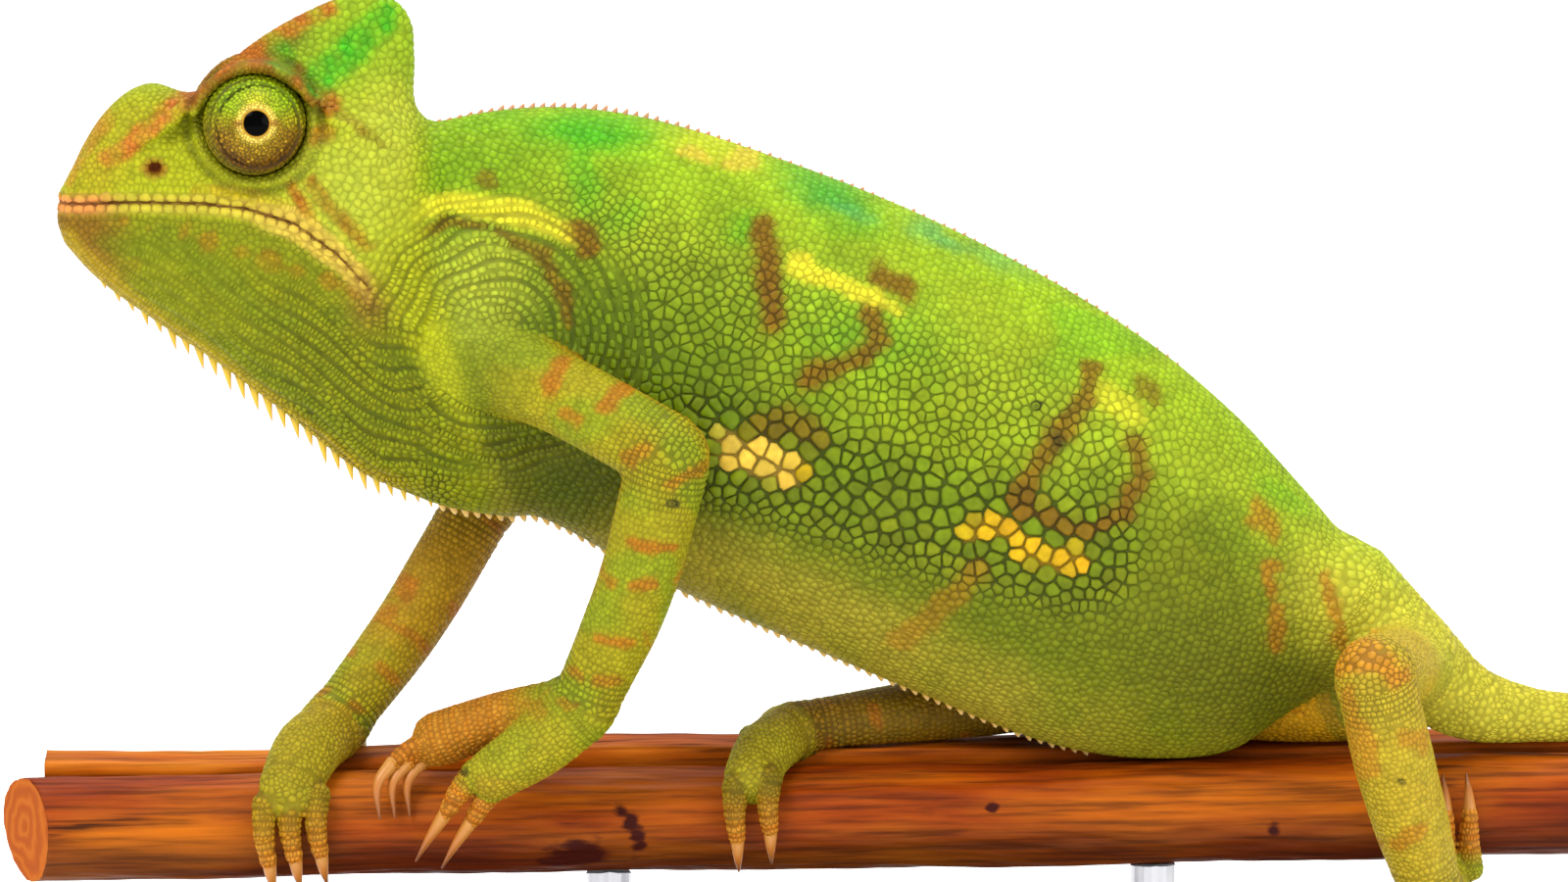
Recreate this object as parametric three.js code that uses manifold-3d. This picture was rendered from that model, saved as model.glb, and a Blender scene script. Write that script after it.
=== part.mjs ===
// A life-size veiled chameleon (adult female) gripping a cut length of split branch, on a plain display stand.
// Millimetres, +Z up. The snout points to -X and the animal's left side faces -Y.
// The origin is the centre of the stand's base, on the surface that it stands on.
import * as THREE from "three";
import { mergeVertices } from "three/addons/utils/BufferGeometryUtils.js";
import Module from "manifold-3d";

const wasm = await Module();
wasm.setup();

// ---------------------------------------------------------------- driving dimensions
const GAP = 0.3; // between pieces that meet
const PERCH_HEIGHT = 51; // pole axis above the table
const POLE = { radius: 5.9, y: -1.5, left: -97.2, right: 88, cutAngle: 25 };
const SLAT = { top: 57.5, bottom: 51.5, front: 2.2, back: 11.6, left: -94.5, right: 84 };
const SLAT_HUMP = { at: -24, reach: 24, rise: 1.2 };
const BASE = { length: 170, width: 84, height: 8, corner: 14, bevel: 1.2 };
const ROD = { radius: 2.6, spacing: 62, collarRadius: 5.2, collarHeight: 3 };
const CLEAR_OF_PERCH = 0.3;
const SKIN_CUT = 0.3; // width of the thin cuts that part the body

// ---------------------------------------------------------------- small helpers
const v3 = (x, y, z) => new THREE.Vector3(x, y, z);

// Value of a named column of a station table at x: a cubic through the stations.
function along(stations, x, key) {
  const last = stations.length - 1;
  let i = 0;
  while (i < last - 1 && x > stations[i + 1].x) i++;
  const a = stations[i];
  const b = stations[i + 1];
  const span = b.x - a.x;
  const slope = (j) => {
    const lo = stations[Math.max(0, j - 1)];
    const hi = stations[Math.min(last, j + 1)];
    return (hi[key] - lo[key]) / (hi.x - lo.x);
  };
  const t = Math.min(1, Math.max(0, (x - a.x) / span));
  const h00 = (1 + 2 * t) * (1 - t) ** 2;
  const h01 = t * t * (3 - 2 * t);
  const h10 = t * (1 - t) ** 2;
  const h11 = t * t * (t - 1);
  return h00 * a[key] + h01 * b[key] + span * (h10 * slope(i) + h11 * slope(i + 1));
}

const signedPower = (value, power) => Math.sign(value) * Math.abs(value) ** power;

// A closed skin over rings of equal point counts, with a fan over each end.
function loft(rings) {
  const count = rings[0].length;
  const points = rings.flat();
  const faces = [];
  rings.slice(1).forEach((ring, r) => {
    for (let k = 0; k < count; k++) {
      const a = r * count + k;
      const b = r * count + ((k + 1) % count);
      faces.push(a, b, a + count, b, b + count, a + count);
    }
  });
  for (const [start, flip] of [[0, true], [(rings.length - 1) * count, false]]) {
    const centre = new THREE.Vector3();
    for (let k = 0; k < count; k++) centre.addScaledVector(points[start + k], 1 / count);
    points.push(centre);
    for (let k = 0; k < count; k++) {
      const pair = [start + k, start + ((k + 1) % count)];
      faces.push(...(flip ? pair.reverse() : pair), points.length - 1);
    }
  }
  const geometry = new THREE.BufferGeometry().setFromPoints(points);
  return geometry.setIndex(faces);
}

// A three.js geometry as a solid, whichever way its faces were wound.
function solid(geometry) {
  const bare = geometry.clone();
  bare.deleteAttribute("normal");
  bare.deleteAttribute("uv");
  const merged = mergeVertices(bare, 1e-4);
  const triVerts = new Uint32Array(merged.index.array);
  const build = () =>
    new wasm.Manifold(
      new wasm.Mesh({ numProp: 3, vertProperties: merged.attributes.position.array, triVerts }),
    );
  const made = build();
  if (made.volume() > 0) return made;
  for (let i = 0; i < triVerts.length; i += 3)
    [triVerts[i + 1], triVerts[i + 2]] = [triVerts[i + 2], triVerts[i + 1]];
  return build();
}

const join = (...solids) => solids.flat().reduce((all, one) => all.add(one));
const cutBy = (body, ...tools) => tools.flat().reduce((left, tool) => left.subtract(tool), body);

function largest(body) {
  return body.decompose().reduce((best, one) => (one.volume() > best.volume() ? one : best));
}

function geometryOf(body) {
  const mesh = body.getMesh();
  const positions = new Float32Array(mesh.numVert * 3);
  for (let i = 0; i < mesh.numVert; i++)
    positions.set(mesh.vertProperties.subarray(i * mesh.numProp, i * mesh.numProp + 3), i * 3);
  const geometry = new THREE.BufferGeometry();
  geometry.setAttribute("position", new THREE.BufferAttribute(positions, 3));
  geometry.setIndex(new THREE.BufferAttribute(mesh.triVerts, 1));
  geometry.computeVertexNormals();
  return geometry;
}

// ---------------------------------------------------------------- forms
// Upright slices: each is a superellipse from `bottom` to `top`, widest at `widest` of its height.
function slicedForm(stations, { slices, sides, grow = 0, width = 2, upper = 2, lower = 2 }) {
  const first = stations[0].x;
  const last = stations[stations.length - 1].x;
  const rings = [];
  for (let i = 0; i <= slices; i++) {
    const x = first + ((last - first) * i) / slices;
    const top = along(stations, x, "top") + grow;
    const bottom = along(stations, x, "bottom") - grow;
    const half = Math.max(0.3, along(stations, x, "half")) + grow;
    const centre = bottom + (top - bottom) * along(stations, x, "widest");
    const shift = i === 0 ? -grow : i === slices ? grow : 0;
    const ring = [];
    for (let k = 0; k < sides; k++) {
      const angle = ((k + 0.5) / sides) * 2 * Math.PI;
      const up = Math.sin(angle);
      const reach = up > 0 ? top - centre : centre - bottom;
      const z = centre + reach * signedPower(up, 2 / (up > 0 ? upper : lower));
      ring.push(v3(x + shift, half * signedPower(Math.cos(angle), 2 / width), z));
    }
    rings.push(ring);
  }
  return solid(loft(rings));
}

// A tapered rod through points, with round ends. `radii` are spaced evenly along it.
function limb(points, radii, { sides = 8, steps = 6, grow = 0 } = {}) {
  const path = new THREE.CatmullRomCurve3(points, false, "centripetal");
  const rings = [];
  const radiusAt = (u) => {
    const place = u * (radii.length - 1);
    const i = Math.min(radii.length - 2, Math.floor(place));
    return THREE.MathUtils.lerp(radii[i], radii[i + 1], place - i) + grow;
  };
  const addRing = (u, out, shrink) => {
    const tangent = path.getTangentAt(u);
    const centre = path.getPointAt(u).addScaledVector(tangent, out);
    const across = v3(0, 1, 0).addScaledVector(tangent, -tangent.y).normalize();
    const wide = tangent.clone().cross(across);
    const radius = radiusAt(u) * shrink;
    const ring = [];
    for (let k = 0; k < sides; k++) {
      const angle = (k / sides) * 2 * Math.PI;
      const point = centre.clone().addScaledVector(wide, radius * Math.cos(angle));
      ring.push(point.addScaledVector(across, radius * Math.sin(angle)));
    }
    rings.push(ring);
  };
  const endTaper = 0.6;
  addRing(0, -radiusAt(0) * endTaper, endTaper);
  for (let i = 0; i <= steps; i++) addRing(i / steps, 0, 1);
  addRing(1, radiusAt(1) * endTaper, endTaper);
  return solid(loft(rings));
}

function ball(centre, radii, { grow = 0, detail = [9, 6] } = {}) {
  const geometry = new THREE.SphereGeometry(1, ...detail);
  geometry.scale(radii.x + grow, radii.y + grow, radii.z + grow);
  geometry.translate(centre.x, centre.y, centre.z);
  return solid(geometry);
}

// An upright wall over an outline in X and Z, through the whole width of the animal.
function wall(outline, halfWidth = 60) {
  const shape = new THREE.Shape(outline.map(([x, z]) => new THREE.Vector2(x, z)));
  const geometry = new THREE.ExtrudeGeometry(shape, { depth: 2 * halfWidth, bevelEnabled: false });
  geometry.rotateX(Math.PI / 2);
  geometry.translate(0, halfWidth, 0);
  return solid(geometry);
}

const mirrored = (point) => v3(point.x, -point.y, point.z);

// ---------------------------------------------------------------- trunk, neck and head
const TRUNK = [
  { x: -58, top: 127, bottom: 97, half: 6.6, widest: 0.5 },
  { x: -50, top: 130.6, bottom: 88.6, half: 8.0, widest: 0.5 },
  { x: -38, top: 132.3, bottom: 85.2, half: 9.8, widest: 0.47 },
  { x: -26, top: 130.9, bottom: 78.4, half: 11.4, widest: 0.44 },
  { x: -11, top: 126.1, bottom: 71.4, half: 12.8, widest: 0.42 },
  { x: 4, top: 120.0, bottom: 64.8, half: 13.6, widest: 0.41 },
  { x: 19, top: 112.3, bottom: 58.7, half: 13.4, widest: 0.4 },
  { x: 31, top: 104.5, bottom: 56.6, half: 12.4, widest: 0.4 },
  { x: 40, top: 96.8, bottom: 57.6, half: 10.8, widest: 0.42 },
  { x: 46, top: 90.4, bottom: 61.5, half: 9.2, widest: 0.46 },
  { x: 51, top: 84.6, bottom: 64.6, half: 7.8, widest: 0.5 },
  { x: 58, top: 76.1, bottom: 64.2, half: 5.6, widest: 0.5 },
];
const THROAT = [
  { x: -90.4, top: 120, bottom: 117.6, half: 1.6, widest: 0.6 },
  { x: -87.4, top: 120, bottom: 113.9, half: 3.4, widest: 0.65 },
  { x: -80.5, top: 118, bottom: 107.9, half: 5.2, widest: 0.7 },
  { x: -72.9, top: 117, bottom: 102.3, half: 6.4, widest: 0.7 },
  { x: -65.4, top: 116, bottom: 96.4, half: 7.2, widest: 0.7 },
  { x: -57.8, top: 114, bottom: 90.4, half: 7.6, widest: 0.66 },
  { x: -50, top: 112, bottom: 87.9, half: 7.4, widest: 0.6 },
  { x: -42, top: 108, bottom: 86.8, half: 6.6, widest: 0.55 },
];
const SKULL = [
  { x: -91.8, top: 122.9, bottom: 119.4, half: 1.3, widest: 0.55 },
  { x: -90.5, top: 125.4, bottom: 117.2, half: 3.1, widest: 0.5 },
  { x: -86.5, top: 131.2, bottom: 113.2, half: 4.9, widest: 0.5 },
  { x: -81.5, top: 134.8, bottom: 110.2, half: 5.9, widest: 0.5 },
  { x: -77, top: 134.2, bottom: 108, half: 6.8, widest: 0.5 },
  { x: -71.5, top: 135.6, bottom: 106, half: 7.7, widest: 0.5 },
  { x: -65, top: 137.2, bottom: 104, half: 8.6, widest: 0.48 },
  { x: -59, top: 136.5, bottom: 103, half: 9.4, widest: 0.46 },
  { x: -54, top: 132.5, bottom: 104, half: 9.0, widest: 0.48 },
  { x: -50, top: 128.5, bottom: 106, half: 7.4, widest: 0.5 },
];
// Level slices of the casque, from the temples up to the peak.
const CASQUE = [
  { z: 125, front: -74, back: -51.8, half: 8.0 },
  { z: 130, front: -75.5, back: -51.2, half: 7.6 },
  { z: 134, front: -75, back: -52.3, half: 5.8 },
  { z: 138, front: -71.6, back: -52.4, half: 3.8 },
  { z: 141, front: -67.6, back: -52.1, half: 2.6 },
  { z: 143.4, front: -63.2, back: -53.1, half: 1.8 },
  { z: 145.2, front: -59, back: -55.2, half: 0.9 },
];
const EYE = { centre: v3(-69.8, -6.6, 131.3), radius: 5.9 };
// Centre of the ridge over the near eye. The head is rolled a little, so the far ridge sits lower.
const BROW = [
  v3(-89, -3.0, 126.6),
  v3(-84, -4.9, 128.6),
  v3(-80, -5.7, 131.0),
  v3(-76.1, -6.6, 134.0),
  v3(-72.1, -7.2, 137.0),
  v3(-68.5, -7.6, 137.7),
  v3(-64.8, -8.2, 136.0),
  v3(-61.2, -8.8, 132.2),
];
const BROW_RADII = [0.4, 0.8, 1.1, 1.2, 1.2, 1.2, 1.1, 0.6];
const FAR_BROW_DROP = 1.3;
const CHEEK = { centre: v3(-58.5, -5.3, 122.5), radii: v3(7.6, 4.6, 10) };
const SHOULDER = { centre: v3(-43, -6.2, 106.5), radii: v3(8.5, 4.6, 10.5) };

function casque(grow) {
  const sides = 12;
  const rings = CASQUE.map((slice, i) => {
    const half = slice.half + grow;
    const length = (slice.back - slice.front) / 2 + grow;
    const middle = (slice.back + slice.front) / 2;
    const ring = [];
    for (let k = 0; k < sides; k++) {
      const angle = (k / sides) * 2 * Math.PI;
      const x = middle + length * signedPower(Math.cos(angle), 0.85);
      const lift = i === CASQUE.length - 1 ? grow : 0;
      ring.push(v3(x, half * signedPower(Math.sin(angle), 0.9), slice.z + lift));
    }
    return ring;
  });
  return solid(loft(rings));
}

function bodyForm(grow = 0) {
  const pair = (centre, radii) => [centre, mirrored(centre)].map((c) => ball(c, radii, { grow }));
  const farBrow = BROW.map((point) => mirrored(point).add(v3(0, 0, -FAR_BROW_DROP)));
  const brows = [BROW, farBrow].map((points) => limb(points, BROW_RADII, { sides: 5, steps: 8, grow }));
  return join(
    slicedForm(TRUNK, { slices: 18, sides: 14, grow, upper: 1.55, lower: 1.7 }),
    slicedForm(THROAT, { slices: 9, sides: 10, grow, upper: 2, lower: 1.35 }),
    slicedForm(SKULL, { slices: 10, sides: 12, grow, width: 2.3, upper: 2, lower: 2 }),
    casque(grow),
    pair(CHEEK.centre, CHEEK.radii),
    pair(SHOULDER.centre, SHOULDER.radii),
    brows,
  );
}

// ---------------------------------------------------------------- tail
const TAIL_RUN = [v3(52, 0, 74.5), v3(59.5, 0, 68.6), v3(67, 0.3, 62.9), v3(75, 0.8, 61.0), v3(84, 1.4, 60.6)];
const COIL = { centre: v3(100, 0, 46), outer: 15, inner: 4.4, turns: 1.55, start: 102 };
const TAIL_RADII = [8.0, 6.3, 4.7, 3.3, 2.7, 2.45];

// Centre of the coil's curve after `turned` degrees: it winds down, round and in.
function coilPoint(turned) {
  const share = turned / (360 * COIL.turns);
  const radius = THREE.MathUtils.lerp(COIL.outer, COIL.inner, share ** 0.9);
  const angle = THREE.MathUtils.degToRad(COIL.start - turned);
  const drift = 1.6 * (1 - share); // the coil leans a little out of the vertical
  return v3(COIL.centre.x + radius * Math.cos(angle), drift, COIL.centre.z + radius * Math.sin(angle));
}

const coilStretch = (from, to, step = 22) => {
  const points = [];
  for (let turned = from; turned <= to + 0.01; turned += (to - from) / Math.round((to - from) / step))
    points.push(coilPoint(turned));
  return points;
};

// ---------------------------------------------------------------- limbs
// Each leg: root inside the body, middle joint, and wrist or ankle.
const LEGS = {
  front_left: {
    upper: [v3(-47, -6.5, 106), v3(-36, -12.5, 101.5), v3(-24.6, -17, 95.6)],
    upperRadii: [5.6, 4.7, 4.7],
    lower: [v3(-24.8, -17, 95.2), v3(-28.6, -16, 80.5), v3(-34, -13.2, 67.2)],
    lowerRadii: [4.8, 4.7, 4.5, 3.9],
  },
  front_right: {
    upper: [v3(-47, 6.5, 104), v3(-45.5, 12, 95), v3(-44.6, 14, 85)],
    upperRadii: [5.2, 4.6, 4.4],
    lower: [v3(-44.8, 14, 84.6), v3(-53.2, 9.4, 71.6), v3(-61.8, 3.4, 61.4)],
    lowerRadii: [4.3, 4.3, 4.1, 3.7],
  },
  hind_left: {
    upper: [v3(59.6, -3, 67.8), v3(56.6, -12, 69.4), v3(53, -20.6, 70.6)],
    upperRadii: [4.9, 4.7, 4.6],
    lower: [v3(53, -21, 70.4), v3(56.2, -18.4, 58.6), v3(61.2, -13.4, 43.6)],
    lowerRadii: [4.6, 4.8, 4.5, 3.7],
  },
  hind_right: {
    upper: [v3(56.6, 4, 68.6), v3(43, 10, 64.8), v3(27, 12.2, 63.4)],
    upperRadii: [5.2, 5.2, 4.3],
    lower: [v3(26.6, 12, 63.4), v3(8, 7.4, 61.4), v3(-9, 3.2, 60.2)],
    lowerRadii: [4.2, 4.4, 3.9, 3.3],
  },
};

// A foot is two opposed bundles of toes. `palm` runs from the ankle to the toes' roots, `toes` is how many,
// `row` steps from one toe to the next, and the toe and its claw then follow `toe` and `claw`.
const BUNDLES = {
  front_left_outer: {
    leg: "front_left",
    palm: [v3(-34.4, -13.2, 66.4), v3(-39.2, -13, 62.4), v3(-44.4, -12.4, 58.9)],
    palmRadii: [4.0, 3.9, 3.3],
    toes: 2,
    row: v3(2.9, 0.2, -0.9),
    toe: [v3(-46.2, -12.4, 59.2), v3(-48.1, -12.1, 56.9), v3(-49.5, -11.6, 54.4)],
    claw: [v3(-49.3, -11.6, 54.8), v3(-51.4, -10.7, 51.4), v3(-52.9, -9.0, 48.4)],
    toeRadii: [2.0, 1.9, 1.5],
  },
  front_left_inner: {
    leg: "front_left",
    palm: [v3(-36, -11, 67.2), v3(-43.5, -7.4, 64.2), v3(-50.4, -5.2, 61.4)],
    palmRadii: [2.6, 3.2, 3.4],
    toes: 3,
    row: v3(1.7, 0.9, -0.1),
    toe: [v3(-51.5, -6.4, 61.4), v3(-54, -6.8, 60.4), v3(-55.5, -7.6, 59)],
    claw: [v3(-55.3, -7.4, 59.4), v3(-57.1, -8.9, 57.2), v3(-56.9, -9.4, 53.4)],
    toeRadii: [1.7, 1.6, 1.4],
  },
  front_right_inner: {
    leg: "front_right",
    palm: [v3(-62.2, 2.8, 61), v3(-65, -2.4, 59.6), v3(-67, -7.2, 56.4)],
    palmRadii: [3.9, 4.1, 3.7],
    toes: 3,
    row: v3(2.9, 0, 0.5),
    toe: [v3(-69.6, -8.4, 55.2), v3(-69.8, -9.4, 51.8), v3(-69.3, -9.1, 48.4)],
    claw: [v3(-69.3, -9.1, 48.8), v3(-69, -8.6, 46.4), v3(-68.6, -6.9, 44.3)],
    toeRadii: [1.9, 1.8, 1.5],
  },
  front_right_outer: {
    leg: "front_right",
    palm: [v3(-61.4, 4.6, 61.4), v3(-61.2, 9.4, 60.4), v3(-61.2, 13.2, 57.6)],
    palmRadii: [3.6, 3.7, 3.3],
    toes: 2,
    row: v3(3.1, 0, 0.2),
    toe: [v3(-62.8, 14.2, 56.8), v3(-62.9, 14.9, 53.6), v3(-62.6, 14, 50.4)],
    claw: [v3(-62.6, 14.1, 50.8), v3(-62.4, 13, 48.2), v3(-62.2, 10.8, 46.6)],
    toeRadii: [2.0, 1.8, 1.5],
  },
  hind_right_inner: {
    leg: "hind_right",
    palm: [v3(-10, 2.2, 60), v3(-13.4, -2.4, 58.8), v3(-15.2, -7.0, 56.8)],
    palmRadii: [3.3, 3.7, 3.4],
    toes: 2,
    row: v3(3.7, 0, 0.9),
    toe: [v3(-17.0, -8.6, 56.4), v3(-17.2, -9.5, 53.4), v3(-16.9, -9.3, 50.4)],
    claw: [v3(-16.9, -9.3, 50.8), v3(-16.8, -8.9, 48.2), v3(-16.6, -7.3, 46.2)],
    toeRadii: [2.0, 1.8, 1.5],
  },
  hind_right_outer: {
    leg: "hind_right",
    palm: [v3(-9.6, 4, 59.4), v3(-10.4, 9, 58.8), v3(-11, 13, 57)],
    palmRadii: [3.2, 3.2, 3.2],
    toes: 3,
    row: v3(2.7, 0, 0.2),
    toe: [v3(-13.8, 14.2, 57), v3(-14, 14.9, 53.8), v3(-13.8, 14, 50.6)],
    claw: [v3(-13.8, 14.1, 51), v3(-13.6, 13, 48.4), v3(-13.4, 10.8, 46.8)],
    toeRadii: [1.9, 1.8, 1.4],
  },
  hind_left_outer: {
    leg: "hind_left",
    palm: [v3(61.8, -13, 43.2), v3(62.6, -11.4, 43.6), v3(63.2, -10.2, 45.4)],
    palmRadii: [3.5, 3.2, 2.8],
    toes: 3,
    row: v3(2.7, 0, 0.1),
    toe: [v3(60.6, -10.2, 45.4), v3(60.4, -10.1, 48.6), v3(60.4, -10.1, 52)],
    claw: [v3(60.4, -10.1, 51.6), v3(60.4, -9.2, 54.2), v3(60.4, -7.4, 56)],
    toeRadii: [1.9, 1.8, 1.5],
  },
  hind_left_inner: {
    leg: "hind_left",
    palm: [v3(62.2, -11.6, 41.8), v3(63.2, -6.4, 41.4), v3(63.8, -1, 41.6)],
    palmRadii: [3.4, 3.3, 3.0],
    toes: 2,
    row: v3(3.1, 0, 0),
    toe: [v3(62, 1, 41.8), v3(62, 4.6, 43.2), v3(62, 6.6, 46)],
    claw: [v3(62, 6.5, 45.6), v3(62, 7.1, 48), v3(62, 6.6, 50)],
    toeRadii: [2.0, 1.8, 1.5],
  },
};
const CLAW_RADII = [1.05, 0.8, 0.35];

function legForm(leg, part, grow = 0) {
  const spec = LEGS[leg];
  return limb(spec[part], spec[part + "Radii"], { sides: 8, steps: 3, grow });
}

function bundleForm(spec, grow = 0) {
  const pieces = [limb(spec.palm, spec.palmRadii, { sides: 6, steps: 2, grow })];
  for (let i = 0; i < spec.toes; i++) {
    const shift = spec.row.clone().multiplyScalar(i);
    const moved = (points) => points.map((p) => p.clone().add(shift));
    pieces.push(limb(moved(spec.toe), spec.toeRadii, { sides: 5, steps: 2, grow }));
    pieces.push(limb(moved(spec.claw), CLAW_RADII, { sides: 4, steps: 2, grow }));
  }
  return join(pieces);
}

// ---------------------------------------------------------------- crest of the throat
const CREST = { first: -85.6, last: -57.5, count: 17, longest: 2.9, shortest: 1.2, radius: 0.75 };

function throatCrest() {
  const cones = [];
  for (let i = 0; i < CREST.count; i++) {
    const share = i / (CREST.count - 1);
    const x = THREE.MathUtils.lerp(CREST.first, CREST.last, share);
    const size = THREE.MathUtils.lerp(CREST.shortest, CREST.longest, Math.sin(Math.PI * share) ** 0.8);
    const root = v3(x, 0, along(THROAT, x, "bottom") + 1);
    const tip = root.clone().add(v3(0.25, 0, -1).multiplyScalar(size + 1));
    cones.push(limb([root, root.clone().lerp(tip, 0.5), tip], [CREST.radius, 0.5, 0.2], { sides: 4, steps: 1 }));
  }
  return cones;
}

// ---------------------------------------------------------------- perch and stand
function poleForm(grow = 0) {
  const { radius, y, left, right } = POLE;
  const sides = 16;
  const rings = [];
  const steps = 6;
  for (let i = 0; i <= steps; i++) {
    const x = THREE.MathUtils.lerp(left - 6 - grow, right + grow, i / steps);
    const ring = [];
    for (let k = 0; k < sides; k++) {
      const angle = (k / sides) * 2 * Math.PI;
      const r = radius + grow + 0.16 * Math.sin(3 * angle + 0.05 * x) + 0.1 * Math.sin(0.19 * x + angle);
      ring.push(v3(x, y + r * Math.cos(angle), PERCH_HEIGHT + r * Math.sin(angle)));
    }
    rings.push(ring);
  }
  const whole = solid(loft(rings));
  const slope = Math.tan(THREE.MathUtils.degToRad(POLE.cutAngle));
  const reach = 30;
  const blade = new THREE.Shape([
    new THREE.Vector2(left - grow + slope * (reach + y), -reach),
    new THREE.Vector2(left - grow - slope * (reach - y), reach),
    new THREE.Vector2(left - 60, reach),
    new THREE.Vector2(left - 60, -reach),
  ]);
  const saw = new THREE.ExtrudeGeometry(blade, { depth: 60, bevelEnabled: false });
  saw.translate(0, 0, PERCH_HEIGHT - 30);
  return whole.subtract(solid(saw));
}

function slatForm(grow = 0) {
  const { top, bottom, front, back, left, right } = SLAT;
  const rings = [];
  const steps = 6;
  for (let i = 0; i <= steps; i++) {
    const x = THREE.MathUtils.lerp(left - grow, right + grow, i / steps);
    const wave = 0.2 * Math.sin(0.11 * x) + SLAT_HUMP.rise * Math.exp(-(((x - SLAT_HUMP.at) / SLAT_HUMP.reach) ** 2));
    const corners = [
      [front, bottom],
      [back - 1, bottom],
      [back, bottom + 1.4],
      [back, top - 1.6],
      [back - 1.6, top],
      [front, top],
    ];
    const centre = [(front + back) / 2, (top + bottom) / 2];
    const ring = corners.map(([y, z]) => v3(
      x,
      y + grow * Math.sign(y - centre[0]),
      z + grow * Math.sign(z - centre[1]) + (z > centre[1] ? wave : 0),
    ));
    rings.push(ring);
  }
  return solid(loft(rings));
}

const perchForm = (grow) => join(poleForm(grow), slatForm(grow));

function baseForm() {
  const { length, width, height, corner, bevel } = BASE;
  const shape = new THREE.Shape();
  const x = length / 2 - bevel;
  const y = width / 2 - bevel;
  const r = corner - bevel;
  shape.moveTo(-x + r, -y).lineTo(x - r, -y).absarc(x - r, -y + r, r, -Math.PI / 2, 0);
  shape.lineTo(x, y - r).absarc(x - r, y - r, r, 0, Math.PI / 2);
  shape.lineTo(-x + r, y).absarc(-x + r, y - r, r, Math.PI / 2, Math.PI);
  shape.lineTo(-x, -y + r).absarc(-x + r, -y + r, r, Math.PI, 1.5 * Math.PI);
  const geometry = new THREE.ExtrudeGeometry(shape, {
    depth: height - 2 * bevel,
    bevelSize: bevel,
    bevelThickness: bevel,
    bevelSegments: 1,
    curveSegments: 5,
  });
  geometry.translate(0, 0, bevel);
  return solid(geometry);
}

function rodForm(x) {
  const profile = [
    [0, BASE.height + GAP],
    [ROD.collarRadius, BASE.height + GAP],
    [ROD.collarRadius, BASE.height + ROD.collarHeight * 0.6],
    [ROD.radius + 0.8, BASE.height + ROD.collarHeight],
    [ROD.radius, BASE.height + ROD.collarHeight + 0.8],
    [ROD.radius, PERCH_HEIGHT],
    [0, PERCH_HEIGHT],
  ];
  const geometry = new THREE.LatheGeometry(profile.map(([r, z]) => new THREE.Vector2(r, z)), 12);
  geometry.rotateX(Math.PI / 2);
  geometry.translate(x, POLE.y, 0);
  return solid(geometry).subtract(poleForm(GAP));
}

// ---------------------------------------------------------------- parting the body into its named pieces
// The mouth line, from the lips' tip back to the corner of the jaws.
const MOUTH = [[-96, 121.7], [-84, 121.9], [-76, 121.8], [-71, 121.2], [-65.5, 119.4], [-61, 116.4], [-57.2, 112.4]];
const JAW_CORNER = [-55.6, 110.6];
const NECK_BACK = [[-40, 140], [-38, 70]];
const NECK_FRONT = [[-50.4, 131.5], [-50.6, 123], [-53, 115], JAW_CORNER, [-53.5, 100], [-50, 80]];
const TAIL_CUT = { point: v3(58.5, 0, 69.6), normal: v3(0.8, 0, -0.6) };

const LEFT_EDGE = -130; // well past the snout
const shifted = (outline, dx, dz) => outline.map(([x, z]) => [x + dx, z + dz]);

function partBody(whole) {
  const half = SKIN_CUT / 2;
  const frontOfNeck = (d) =>
    wall([[LEFT_EDGE, 170], [-49.5 + d, 170], ...shifted(NECK_FRONT, d, 0), [LEFT_EDGE, 80]]);
  const frontOfTrunk = (d) => wall([[LEFT_EDGE, 170], [-40 + d, 170], ...shifted(NECK_BACK, d, 0), [LEFT_EDGE, 70]]);
  const underMouth = (d) =>
    wall([...shifted(MOUTH, 0, d), [JAW_CORNER[0], JAW_CORNER[1] + d], [-30, JAW_CORNER[1] + d], [-30, 60], [-96, 60]]);
  const skullAndJaw = whole.intersect(frontOfNeck(-half));
  const behindTail = (d) => {
    const { point, normal } = TAIL_CUT;
    return whole.trimByPlane([-normal.x, 0, -normal.z], -normal.dot(point) + d);
  };
  return {
    head: largest(skullAndJaw.subtract(underMouth(half))),
    jaw_and_throat: largest(skullAndJaw.intersect(underMouth(-half))),
    neck: largest(whole.intersect(frontOfTrunk(-half)).subtract(frontOfNeck(half))),
    trunk: largest(behindTail(half).subtract(frontOfTrunk(half))),
  };
}

// ---------------------------------------------------------------- materials
const paint = (color, roughness, metalness = 0) => new THREE.MeshStandardMaterial({ color, roughness, metalness });
const SKIN_GREEN = paint(0x7fae1e, 0.55);
const THROAT_GREEN = paint(0x8a9a1c, 0.55);
const LEG_GREEN = paint(0x93ab3a, 0.55);
const TOE_OCHRE = paint(0xc08a3a, 0.5);
const EYE_OLIVE = paint(0x9a9420, 0.45);
const BARK_BROWN = paint(0x8a3d0c, 0.6);
const SPLIT_WOOD = paint(0xc8701e, 0.6);
const BASE_BLACK = paint(0x26262a, 0.5);
const ROD_STEEL = paint(0x9a9a9c, 0.35, 1);

// ---------------------------------------------------------------- assembly
const model = new THREE.Group();

function place(name, body, material) {
  const mesh = new THREE.Mesh(geometryOf(largest(body)), material);
  mesh.name = name;
  model.add(mesh);
}

const perchSpace = perchForm(CLEAR_OF_PERCH);
const bodySpace = bodyForm(GAP);
const eyes = [EYE.centre, mirrored(EYE.centre)];
const eyeRadii = (grow) => v3(EYE.radius + grow, EYE.radius + grow, EYE.radius + grow);
const sockets = eyes.map((c) => ball(c, eyeRadii(GAP), { detail: [14, 10] }));

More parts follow.
